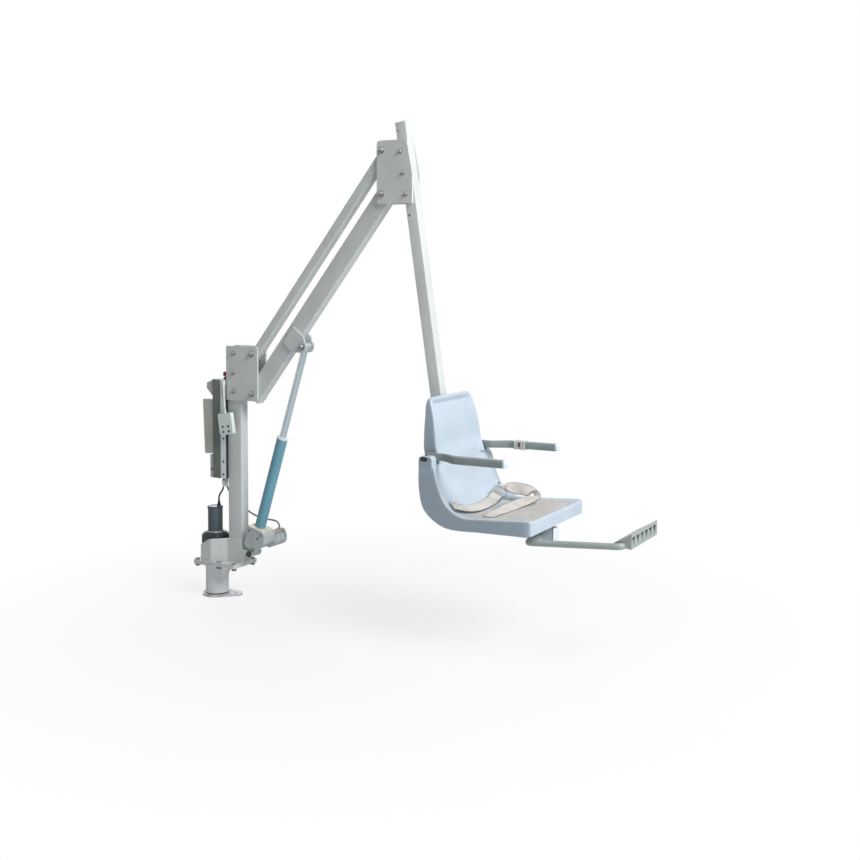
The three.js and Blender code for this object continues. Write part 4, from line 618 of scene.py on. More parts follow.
# Profiles of nuts and bolts: [out, up] in shares of the thread's radius
NUT_WASHER = [(0.8, 0), (2.0, 0), (2.08, 0.09), (2.0, 0.3), (0.8, 0.3)]
NUT_HEXAGON = [(0.6, 0.24), (1.86, 0.24), (1.86, 0.86), (1.62, 0.98), (0, 0.98)]
NUT_DOME = [(1.5, 0.84)] + [(1.5 * c, 0.96 + 0.78 * s) for c, s in arc(0, 0, 1, 0, 15, 6)] + [(0, 1.74)]
BOLT_WASHER = [(0.8, 0), (2.05, 0), (2.1, 0.112), (2.05, 0.28), (0.8, 0.28)]
BOLT_SEAT = 0.252


def turned(profile, r, centre, axis, facets, degrees=0):
    """A profile in shares of r, turned about an axis."""
    return lathe([(r * out, r * up) for out, up in profile], centre, axis, facets, math.radians(degrees))


def cap_nut(centre, axis, r):
    """A domed hex nut of thread radius r on a washer, standing along axis from a face."""
    return merge(turned(NUT_WASHER, r, centre, axis, 28),
                 turned(NUT_HEXAGON, r, centre, axis, 6, 14),
                 turned(NUT_DOME, r, centre, axis, 24))


def hex_bolt(centre, axis, r, head=1.0, degrees=8):
    """A hex head or nut of thread radius r with its washer; head is its height in radii."""
    rise = [(0.6, 0), (1.8, 0), (1.86, 0.12), (1.86, 0.85), (1.62, 1), (0, 1)]
    hexagon = [(out, BOLT_SEAT + up * head) for out, up in rise]
    return merge(turned(BOLT_WASHER, r, centre, axis, 28),
                 turned(hexagon, r, centre, axis, 6, degrees))


def socket_screw(centre, axis, r, h):
    """A cap screw head with its socket."""
    profile = [(0, h * 0.45), (r * 0.48, h * 0.45), (r * 0.52, h), (r * 0.9, h), (r, h * 0.85), (r, 0)]
    return lathe(profile, centre, axis, 20)


def catmull(points, count):
    """Evenly spread samples of a centripetal Catmull-Rom curve, as the CAD curves have them."""
    P = np.array(points, float)
    n = len(P)
    out = []
    for step in range(count + 1):
        p = (n - 1) * step / count
        i = min(int(p), n - 2)
        w = p - i
        p1, p2 = P[i], P[i + 1]
        p0 = P[i - 1] if i > 0 else 2 * P[0] - P[1]
        p3 = P[i + 2] if i + 2 < n else 2 * P[-1] - P[-2]
        spans = ((p0, p1), (p1, p2), (p2, p3))
        d = [max(float(np.sum((b[:3] - a[:3]) ** 2)) ** 0.25, 1e-4) for a, b in spans]
        t1 = ((p1 - p0) / d[0] - (p2 - p0) / (d[0] + d[1]) + (p2 - p1) / d[1]) * d[1]
        t2 = ((p2 - p1) / d[1] - (p3 - p1) / (d[1] + d[2]) + (p3 - p2) / d[2]) * d[1]
        square = (-3 * p1 + 3 * p2 - 2 * t1 - t2) * w ** 2
        cube = (2 * p1 - 2 * p2 + t1 + t2) * w ** 3
        out.append(p1 + t1 * w + square + cube)
    return np.array(out)


# Cords: routes in millimetres
CORD_RADIUS = 0.004
CORD_SAMPLES = 40
HANDSET_ROUTE = [
    [98.4, -55.3, 866.4], [95, -55.5, 890], [90.5, -53, 920], [86, -49.5, 945], [84.5, -48, 963],
    [84.5, -48, 979.5],
]
SLEW_ROUTE = [
    [14, 0, 438.5], [14, 0, 452], [24, -4, 472], [42, -9, 492], [51, -10, 518], [51, -10, 541.5],
]
LIFT_ROUTE = [
    [51, 10, 541.5], [51, 10, 522], [53, 20, 492], [70, 48, 446], [104, 64, 408], [150, 74, 378],
    [205, 86, 358], [245, 95, 355], [272, 99, 348], [282.8, 100, 330.4], [278.8, 100, 317],
]


def cord(name, route, material, body, node):
    """A hanging lead: with one body a round curve that rides on it; with two bodies a plain tube left in place,
    riding on neither.
    """
    points = catmull([[c * MM for c in p] for p in route], CORD_SAMPLES)
    if isinstance(body, str):
        data = bpy.data.curves.new(name, "CURVE")
        data.dimensions = "3D"
        data.bevel_depth = CORD_RADIUS
        data.bevel_resolution = 5
        data.use_fill_caps = True
        spline = data.splines.new("POLY")
        spline.points.add(len(points) - 1)
        for target, p in zip(spline.points, points):
            target.co = (*p, 1)
        obj = add_object(name, data, material)
        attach(obj, body)
    else:
        data = mesh_of(name, tube(points, CORD_RADIUS))
        data.shade_smooth()
        obj = add_object(name, data, material)
        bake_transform(obj)
    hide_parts(node)


cord("handset_lead", HANDSET_ROUTE, "cord_white", "turret", "handset_cord")
cord("slew_motor_lead", SLEW_ROUTE, "cord_black", "turret", "slew_motor_cord")
cord("lift_motor_lead", LIFT_ROUTE, "cord_grey", ("turret", "actuator"), "lift_motor_cord")

# Seat shell: its stations are shares of its length and height (rim x and z, edge x and z) and of its width
SEAT_REAR, SEAT_FRONT, SEAT_BOTTOM, SEAT_TOP, SEAT_HALF = 1.217, 1.706, 0.495, 0.995, 0.262
SEAT_SHARES = [
    (0.012, 1.0, -0.02, 0.994, 0.6), (0.022, 0.968, -0.02, 0.962, 0.675), (0.06, 0.846, -0.02, 0.84, 0.72),
    (0.084, 0.71, -0.02, 0.705, 0.75), (0.1, 0.606, -0.016, 0.6, 0.765), (0.13, 0.51, 0, 0.506, 0.768),
    (0.135, 0.492, 0, 0.489, 0.775), (0.139, 0.478, 0.002, 0.474, 0.97), (0.147, 0.45, 0.004, 0.44, 1),
    (0.186, 0.31, 0.01, 0.27, 1), (0.25, 0.192, 0.055, 0.13, 1.005), (0.38, 0.108, 0.23, 0.012, 1.01),
    (0.63, 0.11, 0.58, 0.002, 1.015), (0.94, 0.128, 0.94, 0.01, 1.015),
    (0.985, 0.126, 0.985, 0.012, 0.985), (1.0, 0.112, 1.0, 0.02, 0.9),
]
SEAT_SAMPLES = 900
SEAT_ROWS = 120
RIM, RIM_RADIUS, BLEND, DISH, SHELL_WALL, END_RADIUS = 0.010, 0.0085, 0.034, 0.014, 0.0048, 0.0085
DISH_START, DISH_RUN = 0.009, 0.022
CORNER = 7


def seat_section(half_width, depth, inset, dish):
    """Half of the tray section, from the skirt's edge up and in to the middle: [distance out, distance down]."""
    wide = half_width - inset
    drop = min(RIM_RADIUS, (depth - inset) * 0.7)
    points = [(wide, depth - (depth - drop - inset) * k / 5) for k in range(5)]
    for c, s in arc(0, 0, 1, 0, 15, 7):
        points.append((wide - RIM_RADIUS * (1 - c), inset + drop * (1 - s)))
    start = wide - RIM
    for k in range(11):
        points.append((start - BLEND * k / 10, inset + dish * (0.02 + 0.9 * ease(k / 10))))
    inner = start - BLEND
    for k in range(1, 9):
        y = inner * (1 - k / 8)
        points.append((y, inset + dish * (0.92 + 0.08 * (1 - (y / inner) ** 2))))
    return points


def seat_curve(columns):
    """A curve through the stations, from the columns of their x, z and width shares."""
    places = []
    for share in SEAT_SHARES:
        x, z, width = (share[c] for c in columns)
        places.append((SEAT_REAR + x * (SEAT_FRONT - SEAT_REAR), width * SEAT_HALF,
                       SEAT_BOTTOM + z * (SEAT_TOP - SEAT_BOTTOM)))
    return catmull(places, SEAT_SAMPLES)


def seat_row(rim, edge, near_end):
    """One row of points across the shell; near the ends of the profile it turns in and loses its dish."""
    inset = 0.0
    if near_end < END_RADIUS:
        inset = END_RADIUS - math.sqrt(max(END_RADIUS ** 2 - (END_RADIUS - near_end) ** 2, 0))
    down = Vector((edge[0] - rim[0], 0, edge[2] - rim[2]))
    depth = down.length
    down.normalize()
    half = seat_section(rim[1], depth, inset, DISH * ease((near_end - DISH_START) / DISH_RUN))
    full = half + [(-y, v) for y, v in reversed(half[:-1])]
    return [Vector((rim[0] + down.x * v, y, rim[2] + down.z * v)) for y, v in full]


def seat_shell():
    """The moulding: a tray section swept along its profile, closed at the top and the front."""
    rims, edges = seat_curve((0, 1, 4)), seat_curve((2, 3, 4))
    run = np.concatenate([[0], np.cumsum(np.linalg.norm(np.diff(rims[:, [0, 2]], axis=0), axis=1))])
    total = run[-1]
    places = [END_RADIUS * (1 - c) for c, _ in arc(0, 0, 1, 0, 15, 7)]
    middle = list(np.linspace(END_RADIUS, total - END_RADIUS, SEAT_ROWS))[1:-1]
    rows = []
    for stop in places + middle + [total - p for p in reversed(places)]:
        p = float(np.interp(stop, run, np.arange(SEAT_SAMPLES + 1)))
        i = min(int(p), SEAT_SAMPLES - 1)
        w = p - i
        rim, edge = (curve[i] * (1 - w) + curve[i + 1] * w for curve in (rims, edges))
        rows.append(seat_row(rim, edge, min(stop, total - stop)))
    n = len(rows[0])
    vertices = [p for row in rows for p in row]
    faces = grid(len(rows), n)
    for first, row in ((0, rows[0]), ((len(rows) - 1) * n, rows[-1])):
        below = range(len(vertices), len(vertices) + n - 2 * CORNER)
        vertices += [Vector((row[0].x, p.y, row[0].z)) for p in row[CORNER:-CORNER]]
        faces.append((*range(first, first + CORNER + 1), below[0]))
        faces += [(first + k, first + k + 1, below[k - CORNER + 1], below[k - CORNER])
                  for k in range(CORNER, n - CORNER - 1)]
        faces.append((*range(first + n - CORNER - 1, first + n), below[-1]))
    seat = add_mesh("seat_moulding", (vertices, faces), "seat", "post_head", smooth=False)
    mesh = seat.data
    mesh.shade_smooth()

    # The wall grows inwards, so the outside of the pan has to face up
    level = [p for p in mesh.polygons if p.normal.z ** 2 > 0.9]
    pan = max(level, key=lambda p: p.center.x - abs(p.center.y) * 0.2)
    if pan.normal.z < 0:
        mesh.flip_normals()
    thicken(seat, SHELL_WALL, -1)
    weld_and_smooth(seat)
    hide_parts("seat_shell")


seat_shell()

# Armrest ears: their half widths, outline, and the black oval painted as the shade of the slot on the outer
# face, with its screw
EAR_INNER, EAR_OUTER = 0.2223, 0.262
EAR_REAR, EAR_FRONT, EAR_BOTTOM, EAR_TOP = 1.2172, 1.278, 0.690, 0.772
EAR_ROUND, EAR_FOOT_ROUND = 0.016, 0.004
EAR_SLOT_X, EAR_SLOT_Z, EAR_SLOT_REACH, EAR_SLOT_RADIUS = 1.2425, 0.760, 0.008, 0.0085


def ear(side, name):
    """The flange that carries an armrest pivot, with a black oval painted on its outer face as the shade of a
    recessed slot, and the pivot screw in it.
    """
    corners = [
        (EAR_FRONT - EAR_ROUND, EAR_TOP - EAR_ROUND, EAR_ROUND, 0),
        (EAR_REAR + EAR_ROUND, EAR_TOP - EAR_ROUND, EAR_ROUND, 90),
        (EAR_REAR + EAR_FOOT_ROUND, EAR_BOTTOM + EAR_FOOT_ROUND, EAR_FOOT_ROUND, 180),
        (EAR_FRONT - EAR_FOOT_ROUND, EAR_BOTTOM + EAR_FOOT_ROUND, EAR_FOOT_ROUND, 270),
    ]
    outline = [p for corner in corners for p in arc(*corner, 15, 7)]
    rings = [[Vector((x, side * y, z)) for x, z in outline] for y in (EAR_INNER, EAR_OUTER)]
    add_mesh(f"armrest_ear_{name}", loft(rings), "seat", "post_head", 0.004, 4)
    # Painted shade: the slot is a black oval standing a little proud of the face, dark as a recess in shade
    # would be.
    oval = arc(EAR_SLOT_REACH, 0, EAR_SLOT_RADIUS, -90, 22.5, 9)
    oval += arc(-EAR_SLOT_REACH, 0, EAR_SLOT_RADIUS, 90, 22.5, 9)
    rings = []
    for rise, share in ((-0.0004, 1.0), (0.0005, 0.97), (0.0005, 0.5), (0.0004, 0.0)):
        y = side * (EAR_OUTER + rise)
        rings.append([Vector((EAR_SLOT_X + dx * share, y, EAR_SLOT_Z + dz * share)) for dx, dz in oval])
    add_mesh(f"armrest_slot_shade_{name}", loft(rings, False), "black", "post_head")
    place = (EAR_SLOT_X, side * (EAR_OUTER + 0.0003), EAR_SLOT_Z)
    screw = socket_screw(place, (0, side, 0), 0.0046, 0.0014)
    add_mesh(f"armrest_screw_{name}", screw, "dark_steel", "post_head")


for side, name in SIDES:
    ear(side, name)

# Armrests: from a flat bar beside the ear they step out to the thicker grip
REST_INNER, REST_OUTER, REST_THIN, REST_THICK = 0.206, 0.270, 0.016, 0.032
REST_REAR, STEP_START, STEP_END, REST_FRONT = 1.225, 1.296, 1.384, 1.596
REST_Z, REST_HALF = 0.766, 0.015
REST_END_ROUND, REST_EDGE_ROUND = 0.005, 0.0055
REST_CAP = 0.011
REST_PIN_X, REST_PIN_RADIUS, REST_PIN_END = 1.240, 0.008, 0.256


def rest_station(x):
    """Middle, half width and half height of the armrest at x."""
    share = ease((x - STEP_START) / (STEP_END - STEP_START))
    a = REST_INNER + (REST_OUTER - REST_THICK - REST_INNER) * share
    b = REST_INNER + REST_THIN + (REST_OUTER - REST_INNER - REST_THIN) * share
    end = min(x - REST_REAR, REST_FRONT - x, REST_END_ROUND)
    pull = REST_END_ROUND - math.sqrt(max(REST_END_ROUND ** 2 - (REST_END_ROUND - end) ** 2, 0))
    return x, (a + b) / 2, (b - a) / 2 - pull, REST_HALF - pull


def rest_ring(side, x, y, w, h, count=28):
    """A rounded rectangle of points, w and h from its middle."""
    ring = []
    r = min(REST_EDGE_ROUND, w * 0.8, h * 0.8)
    for c, s in arc(0, 0, 1, 0, 360 / count, count):
        px = math.copysign(max(w - r, 0), c) + r * c if abs(c) > 1e-9 else 0
        pz = math.copysign(max(h - r, 0), s) + r * s if abs(s) > 1e-9 else 0
        ring.append(Vector((x, side * (y + px), REST_Z + pz)))
    return ring


def armrest(side, name):
    """The bar with its pale end cap, the pin into the ear and the bolt on its inner face."""
    start = REST_REAR + 0.0005
    rows = [rest_station(start + (REST_FRONT - start) * k / 90) for k in range(91)]
    split = REST_FRONT - REST_CAP
    bar = [r for r in rows if r[0] <= split]
    cap = [(split + 0.0004, bar[-1][1], REST_THICK / 2, REST_HALF)] + [r for r in rows if r[0] > split]
    bar.append((split, *rows[-8][1:]))
    body = f"armrest_{name}"
    for piece, part, material in (("bar", bar, "armrest"), ("cap", cap, "armrest_cap")):
        rings = [rest_ring(side, *row) for row in part]
        obj = add_mesh(f"armrest_{piece}_{name}", loft(rings), material, body)
        if piece == "bar":
            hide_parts(f"armrest_{name}")
    profile = [(0, REST_INNER + REST_THIN / 2), (REST_PIN_RADIUS, REST_INNER + REST_THIN / 2),
               (REST_PIN_RADIUS, REST_PIN_END - 0.0008), (REST_PIN_RADIUS - 0.0008, REST_PIN_END),
               (0, REST_PIN_END)]
    pin = lathe(profile, (REST_PIN_X, 0, REST_Z), (0, side, 0), 24)
    add_mesh(f"armrest_pin_{name}", pin, "steel", body)
    place = (REST_PIN_X + 0.008, side * (REST_INNER + 0.0008), REST_Z + 0.003)
    bolt = hex_bolt(place, (0, -side, 0), 0.0046, 0.6)
    add_mesh(f"armrest_bolt_{name}", bolt, "steel", body)


for side, name in SIDES:
    armrest(side, name)


def strap_keeper():
    """The strap keeper on the far armrest: a band with raised ends, and a black box painted as the shade in its
    slot.
    """
    place = Matrix.Translation((1.425, 0.238, REST_Z))
    rows = [((-24, -3.5, -17.5), (24, 31.8, 17.5), 3)]
    rows += [((x - 2.6, -6, -19.5), (x + 2.6, 30.5, 19.5), 2) for x in (-22, 9, 22)]
    add_mesh("strap_keeper", boxes(rows, place), "keeper", "armrest_far")
    # Painted shade: the slot is a black box on the band's inner face, standing for the shade in it.
    slot = boxes([((-4.5, -5.2, -9), (2.5, -2, 12), 1.2)], place)
    add_mesh("strap_keeper_slot_shade", slot, "black", "armrest_far")


strap_keeper()

# Belt: each station is a place in millimetres and the direction of the strap's width
WEB_WIDTH, WEB_THICK, WEB_COLUMNS, WEB_RIPPLE = 0.050, 0.0022, 12, 0.0004
ALONG_CLASP = [0.93, 0, -0.37]
NEAR_STRAP = [
    [1350, -226, 583.2, 0.8, 0, -0.6], [1372, -175, 565.2, 0.88, 0, -0.46],
    [1384, -112, 555.2, 0.92, 0, -0.39], [1384, 0, 553, 0.92, 0, -0.39],
    [1385, 77.3, 563.1, *ALONG_CLASP], [1385, 105.5, 573.3, *ALONG_CLASP],
]
NEAR_FOLD = [[1385, y, z, *ALONG_CLASP] for y, z in ((62, 562.4), (84, 568.4), (105, 575.8))]
FAR_STRAP = [
    [1385, 164.5, 594.7, *ALONG_CLASP], [1385, 178.6, 599.8, *ALONG_CLASP],
    [1370, 204, 595, 0.88, 0, -0.46], [1348, 226, 584, 0.8, 0, -0.6],
]
TAIL_STRAP = [
    [1396, 166, 600, 0.93, -0.05, -0.37], [1422, 182, 594, 0.6, -0.2, -0.75],
    [1450, 195, 590, 0.35, -0.25, -0.9], [1482, 205, 584, 0.4, -0.45, -0.8],
    [1506, 205, 575, 0.6, -0.65, -0.45], [1517, 192, 564, 0.72, -0.65, -0.25],
    [1511, 165, 559, 0.8, -0.5, -0.35], [1498, 100, 553, 0.85, -0.3, -0.45],
    [1488, 0, 548, 0.88, -0.1, -0.4], [1481, -100, 542.5, 0.98, -0.05, -0.15],
    [1477, -165, 539.7, 1, -0.05, 0],
]


def strap(name, stations, node, steps=70, bow=0.0012):
    """A woven strap through the stations, slightly cupped, with its UV in metres."""
    samples = catmull([[c * MM for c in s[:3]] + s[3:] for s in stations], steps)
    centres = [Vector(s[:3]) for s in samples]
    lengths = [0.0]
    for a, b in zip(centres, centres[1:]):
        lengths.append(lengths[-1] + (b - a).length)
    shares = [k / WEB_COLUMNS - 0.5 for k in range(WEB_COLUMNS + 1)]
    vertices = []
    for i, s in enumerate(samples):
        t = (centres[min(i + 1, steps)] - centres[max(i - 1, 0)]).normalized()
        wide = Vector(s[3:])
        wide = (wide - t * wide.dot(t)).normalized()
        up = t.cross(wide)
        if up.z < 0:
            up = -up
        for u in shares:
            lift = bow * (1 - (2 * u) ** 2) * math.sin(math.pi * i / steps)
            ripple = WEB_RIPPLE * noise.noise(Vector((u * 3, lengths[i] * 30, 1.7)))
            vertices.append(centres[i] + wide * (u * WEB_WIDTH) + up * (lift + ripple))
    mesh = mesh_of(name, (vertices, grid(steps + 1, WEB_COLUMNS + 1)))
    uv = mesh.uv_layers.new(name="strap")
    for loop in mesh.loops:
        i, k = divmod(loop.vertex_index, WEB_COLUMNS + 1)
        uv.data[loop.index].uv = (shares[k] * WEB_WIDTH, lengths[i])
    mesh.shade_smooth()
    obj = add_object(name, mesh, "webbing")
    thicken(obj, WEB_THICK, 0)
    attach(obj, "post_head")
    if node:
        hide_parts(node)


strap("belt_strap_near", NEAR_STRAP, "belt_near")
strap("belt_fold_near", NEAR_FOLD, None, 14, 0.0006)
strap("belt_strap_far", FAR_STRAP, "belt_far", 30)
strap("belt_strap_tail", TAIL_STRAP, "belt_tail", 110)

# Side-release buckle: socket, plug, the tongue between them, two side arms and two raised bars
CLASP = [
    ((-27, -30.5, -6.8), (27, 6, 6.8), 3),
    ((-28.5, 9, -5.5), (28.5, 30.5, 5.5), 2.5),
    ((-17, 4, -4.5), (17, 12, 4.5), 1.5),
    ((-28.5, -14, -4.2), (-24.5, 12, 4.2), 1.8),
    ((24.5, -14, -4.2), (28.5, 12, 4.2), 1.8),
    ((-20, -26.5, 5.5), (20, -22.5, 7.8), 1),
    ((-20, 22.5, 4.5), (20, 26.5, 6.6), 1),
]
# Painted shade: thin black strips on top of the buckle stand for the shade in its slots.
CLASP_SLOT_SHADES = [
    ((-21, 17, 5), (21, 20, 5.8), 0.3),
    ((-21, -21, 6.3), (21, -18.5, 7.1), 0.3),
]
CLASP_PLACE = Matrix.Translation((1.385, 0.135, 0.584)) @ Matrix.Rotation(math.radians(20), 4, "X") \
    @ Matrix.Rotation(math.radians(21), 4, "Y")
clasp = add_mesh("belt_clasp", boxes(CLASP, CLASP_PLACE), "buckle", "post_head")
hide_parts("belt_buckle")
add_mesh("belt_clasp_slot_shades", boxes(CLASP_SLOT_SHADES, CLASP_PLACE), "black", "post_head")

# Footrest tube: out from the seat tube, forward, and across under the tray
FOOT_REAR, FOOT_FRONT, FOOT_REAR_Z, FOOT_FRONT_Z = 1.640, 2.022, 0.455, 0.481
FOOT_START_Y, FOOT_NEAR_Y, FOOT_FAR_Y = -0.0257, -0.165, 0.140
FOOT_RADIUS, FOOT_BEND = 0.0127, 0.030


def footrest():
    """The bent tube with the bolt that holds it."""
    corners = [
        Vector((FOOT_REAR, FOOT_START_Y, FOOT_REAR_Z)), Vector((FOOT_REAR, FOOT_NEAR_Y, FOOT_REAR_Z)),
        Vector((FOOT_FRONT, FOOT_NEAR_Y, FOOT_FRONT_Z)), Vector((FOOT_FRONT, FOOT_FAR_Y, FOOT_FRONT_Z)),
    ]
    path = [corners[0]]
    for before, corner, after in zip(corners, corners[1:], corners[2:]):
        a = corner + (before - corner).normalized() * FOOT_BEND
        b = corner + (after - corner).normalized() * FOOT_BEND
        path += [path[-1].lerp(a, k / 6) for k in range(1, 6)]
        for k in range(15):
            t = k / 14
            path.append(a * (1 - t) ** 2 + corner * 2 * t * (1 - t) + b * t ** 2)
    path += [path[-1].lerp(corners[3], k / 8) for k in range(1, 9)]
    bar = add_mesh("footrest_bar", tube(path, FOOT_RADIUS, 28), "foot", "footrest", 0.0008)
    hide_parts("footrest_tube")
    bolt = hex_bolt((FOOT_REAR, -0.052, FOOT_REAR_Z + FOOT_RADIUS - 0.0005), UP, 0.0036, 0.7)
    add_mesh("footrest_bar_bolt", bolt, "steel", "footrest")


footrest()

# Bolts of the mast, the post and the pivots; NUT_EDGE is the rounding of their edges
NUT_EDGE = 0.0003
CLAMP_RADIUS = 0.005
PIVOT_RADIUS = 0.008
MAST_CLAMPS = [Vector((0.1315, 0, z)) for z in (0.955, 1.039, 1.126)]
POST_CLAMP_BACK = 0.0134
POST_CLAMPS = [POST_TOP + Vector((d * math.sin(POST_LEAN) - POST_CLAMP_BACK * math.cos(POST_LEAN), 0,
                                  -d * math.cos(POST_LEAN) - POST_CLAMP_BACK * math.sin(POST_LEAN)))
               for d in (0.122, 0.211, 0.2985)]


def clamp_bolts(name, body, places):
    """Domed nuts on the near plate and plain ones on the far plate."""
    near = [cap_nut((p.x, -PLATE_OUTER, p.z), NEAR, CLAMP_RADIUS) for p in places]
    far = [hex_bolt((p.x, PLATE_OUTER, p.z), FAR, CLAMP_RADIUS, 0.98) for p in places]
    add_mesh(name, merge(*near, *far), "steel", body, NUT_EDGE)


def pivot_bolt(name, node, body, place, material="steel", head=cap_nut):
    """A pivot bolt with washers: shank, domed or hex head near, hex nut far."""
    r, end = PIVOT_RADIUS, PLATE_OUTER + 0.001
    shank = lathe([(0, -end), (r, -end), (r, end), (0, end)], (place.x, 0, place.z), FAR, 24)
    near = head((place.x, -PLATE_OUTER, place.z), NEAR, r * 0.86)
    far = hex_bolt((place.x, PLATE_OUTER, place.z), FAR, r * 0.9, 0.95)
    obj = add_mesh(name, merge(shank, near, far), material, body, NUT_EDGE)
    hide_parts(node)


clamp_bolts("mast_clamp_nuts", "turret", MAST_CLAMPS)
clamp_bolts("post_clamp_nuts", "post_head", POST_CLAMPS)
pivot_bolt("lower_mast_pivot_bolt", "mast_pivot_lower", "turret", PIVOT)
pivot_bolt("upper_mast_pivot_bolt", "mast_pivot_upper", "turret", PIVOT + SPACING)
pivot_bolt("lower_post_pivot_bolt", "post_pivot_lower", "post_head", HEAD)
pivot_bolt("upper_post_pivot_bolt", "post_pivot_upper", "post_head", HEAD + SPACING)
pivot_bolt("actuator_foot_bolt", "actuator_base_pin", "turret", BASE_PIN, "dark_steel", hex_bolt)


def base_bolts():
    """Heads on the base, each turned by its own angle and with a black disc painted on it as the shade of its
    socket, and nuts under it, one of them rusty.
    """
    heads, socket_shades, nuts, rusty = [], [], [], []
    for x in (-0.058, 0.066, 0.151):
        turn = 3700 * x
        for y in (-0.068, 0.068):
            heads.append(hex_bolt((x, y, BASE_TOP), UP, 0.0056, 0.8, 8 + turn))
            # Painted shade: the socket is a flat black disc just above the head, standing for the shade in the
            # recess.
            socket = [(0.0058, 0.0061), (0.0058, 0.0066), (0, 0.0066)]
            socket_shades.append(lathe(socket, (x, y, BASE_TOP), UP, 18))
            nut = hex_bolt((x, y, BASE_UNDERSIDE), DOWN, 0.0064, 1.35, 20 + turn)
            (rusty if x > 0.1 and y > 0 else nuts).append(nut)
    add_mesh("base_bolt_heads", merge(*heads), "nut_steel", "turret", NUT_EDGE)
    add_mesh("base_bolt_socket_shades", merge(*socket_shades), "black", "turret")
    add_mesh("base_bolt_nuts", merge(*nuts), "nut_steel", "turret", NUT_EDGE)
    add_mesh("base_bolt_nut_rusty", merge(*rusty), "rust", "turret", NUT_EDGE)


base_bolts()

LUG_FACE, LUG_BOLT_RADIUS = 0.032, 0.0078
lug_nuts = merge(cap_nut((LUG_PIN.x, -LUG_FACE, LUG_PIN.z), NEAR, LUG_BOLT_RADIUS),
                 hex_bolt((LUG_PIN.x, LUG_FACE, LUG_PIN.z), FAR, LUG_BOLT_RADIUS, 1.1))
add_mesh("actuator_head_nuts", lug_nuts, "steel", "main_arm", NUT_EDGE)

# Small fittings of the box and the channel
CHANNEL_SCREW_X = 0.075
CHANNEL_SCREW_HEIGHTS = (0.572, 0.630, 0.735, 0.940, 0.985)
BOX_SCREW_PLACE = (0.0055, CHANNEL_FACE, 0.590)
GLAND = [(0.0042, -0.034), (0.0062, -0.030), (0.0072, -0.014), (0.0088, -0.012), (0.0088, -0.0005),
         (0.0042, -0.0005)]
GLAND_X, GLAND_Z, GLAND_OUT = 0.051, 0.542, 0.010


def box_fittings():
    """A black strip painted as the shade in the gap between the channel and the mast, the screws of the channel,
    the screw of the box and its two cord glands.
    """
    # Painted shade: this thin black strip beside the channel's flange stands for the shade in the gap against
    # the mast.
    gap_shade_strip = rounded_box((0.0892, -0.0395, 0.553), (0.0912, -0.0262, 1.004), 0.0004)
    add_mesh("channel_gap_shade", gap_shade_strip, "rubber", "turret")
    places = [(CHANNEL_SCREW_X, CHANNEL_FACE, z) for z in CHANNEL_SCREW_HEIGHTS]
    screws = [socket_screw(place, NEAR, 0.0044, 0.0018) for place in places]
    add_mesh("channel_screws", merge(*screws), "dark_steel", "turret")
    foot = socket_screw(BOX_SCREW_PLACE, NEAR, 0.0048, 0.0018)
    add_mesh("box_screw", foot, "dark_steel", "turret")
    glands = [lathe(GLAND, (GLAND_X, y, GLAND_Z), UP, 24) for y in (-GLAND_OUT, GLAND_OUT)]
    add_mesh("cord_glands", merge(*glands), "collar", "turret")


box_fittings()


def key_cap(number):
    """A raised three-cornered key with rounded corners, in the plane of the handset's face."""
    low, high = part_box(f"handset_key_{number}")
    middle = (Vector(low) + Vector(high)) / 2
    first = 98.3 + (0 if number in (1, 3) else 60)
    outline = []
    for k, (x, z) in enumerate(arc(middle.x, middle.z, 0.0040, first, 120, 3)):
        outline += arc(x, z, 0.0020, first + 120 * k - 40, 40, 3)
    rings = [[Vector((x, y, z)) for x, z in outline] for y in (low[1] + 0.0002, high[1])]
    cap = add_mesh(f"key_cap_{number}", loft(rings), "key", f"key_{number}", 0.0004)
    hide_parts(f"handset_key_{number}")


for number in range(1, 5):
    key_cap(number)


def tube_end(name, start, end, inset, radius, material):
    """A slice in front of the seat tube, a little smaller than its section."""
    low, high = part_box("seat_tube")
    part = rounded_box((high[0] + start, low[1] + inset, low[2] + inset),
                       (high[0] + end, high[1] - inset, high[2] - inset), radius)
    add_mesh(name, part, material, "post_head")


tube_end("seat_tube_joint", 0.0001, 0.0018, 0.001, 0.0004, "black")
tube_end("seat_tube_cap", 0.0018, 0.0085, 0.0002, 0.003, "armrest_cap")


def slew_trim():
    """On the slewing motor: the lip of its cap, the worn ring where it stands, and clamp tabs."""
    low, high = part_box("slew_motor")
    x, radius, top = (low[0] + high[0]) / 2, (high[0] - low[0]) / 2, high[2]
    lip = [(-0.001, -0.006), (0.0014, -0.006), (0.0018, -0.001), (-0.001, 0.0012), (-0.006, 0.0012),
           (-0.006, -0.001)]
    ring = [(-0.001, 0), (0.007, 0.0004), (0.006, 0.004), (-0.001, 0.006)]
    for name, profile, z, material in (("lip", lip, top, "slew"), ("ring", ring, low[2] + 0.0002, "loom")):
        part = lathe([(radius + out, up) for out, up in profile], (x, 0, z), UP, 40)
        add_mesh(f"slew_motor_{name}", part, material, "turret", 0.0003)
    tab = rounded_box((radius - 0.004, -0.004, -0.010), (radius + 0.0022, 0.004, 0.0018), 0.0008)
    place = Matrix.Translation((x, 0, top))
    tabs = [placed(tab, place @ Matrix.Rotation(math.radians(a), 4, "Z")) for a in (-130, -75, 15, 110)]
    add_mesh("slew_motor_tabs", merge(*tabs), "slew_dark", "turret")


slew_trim()

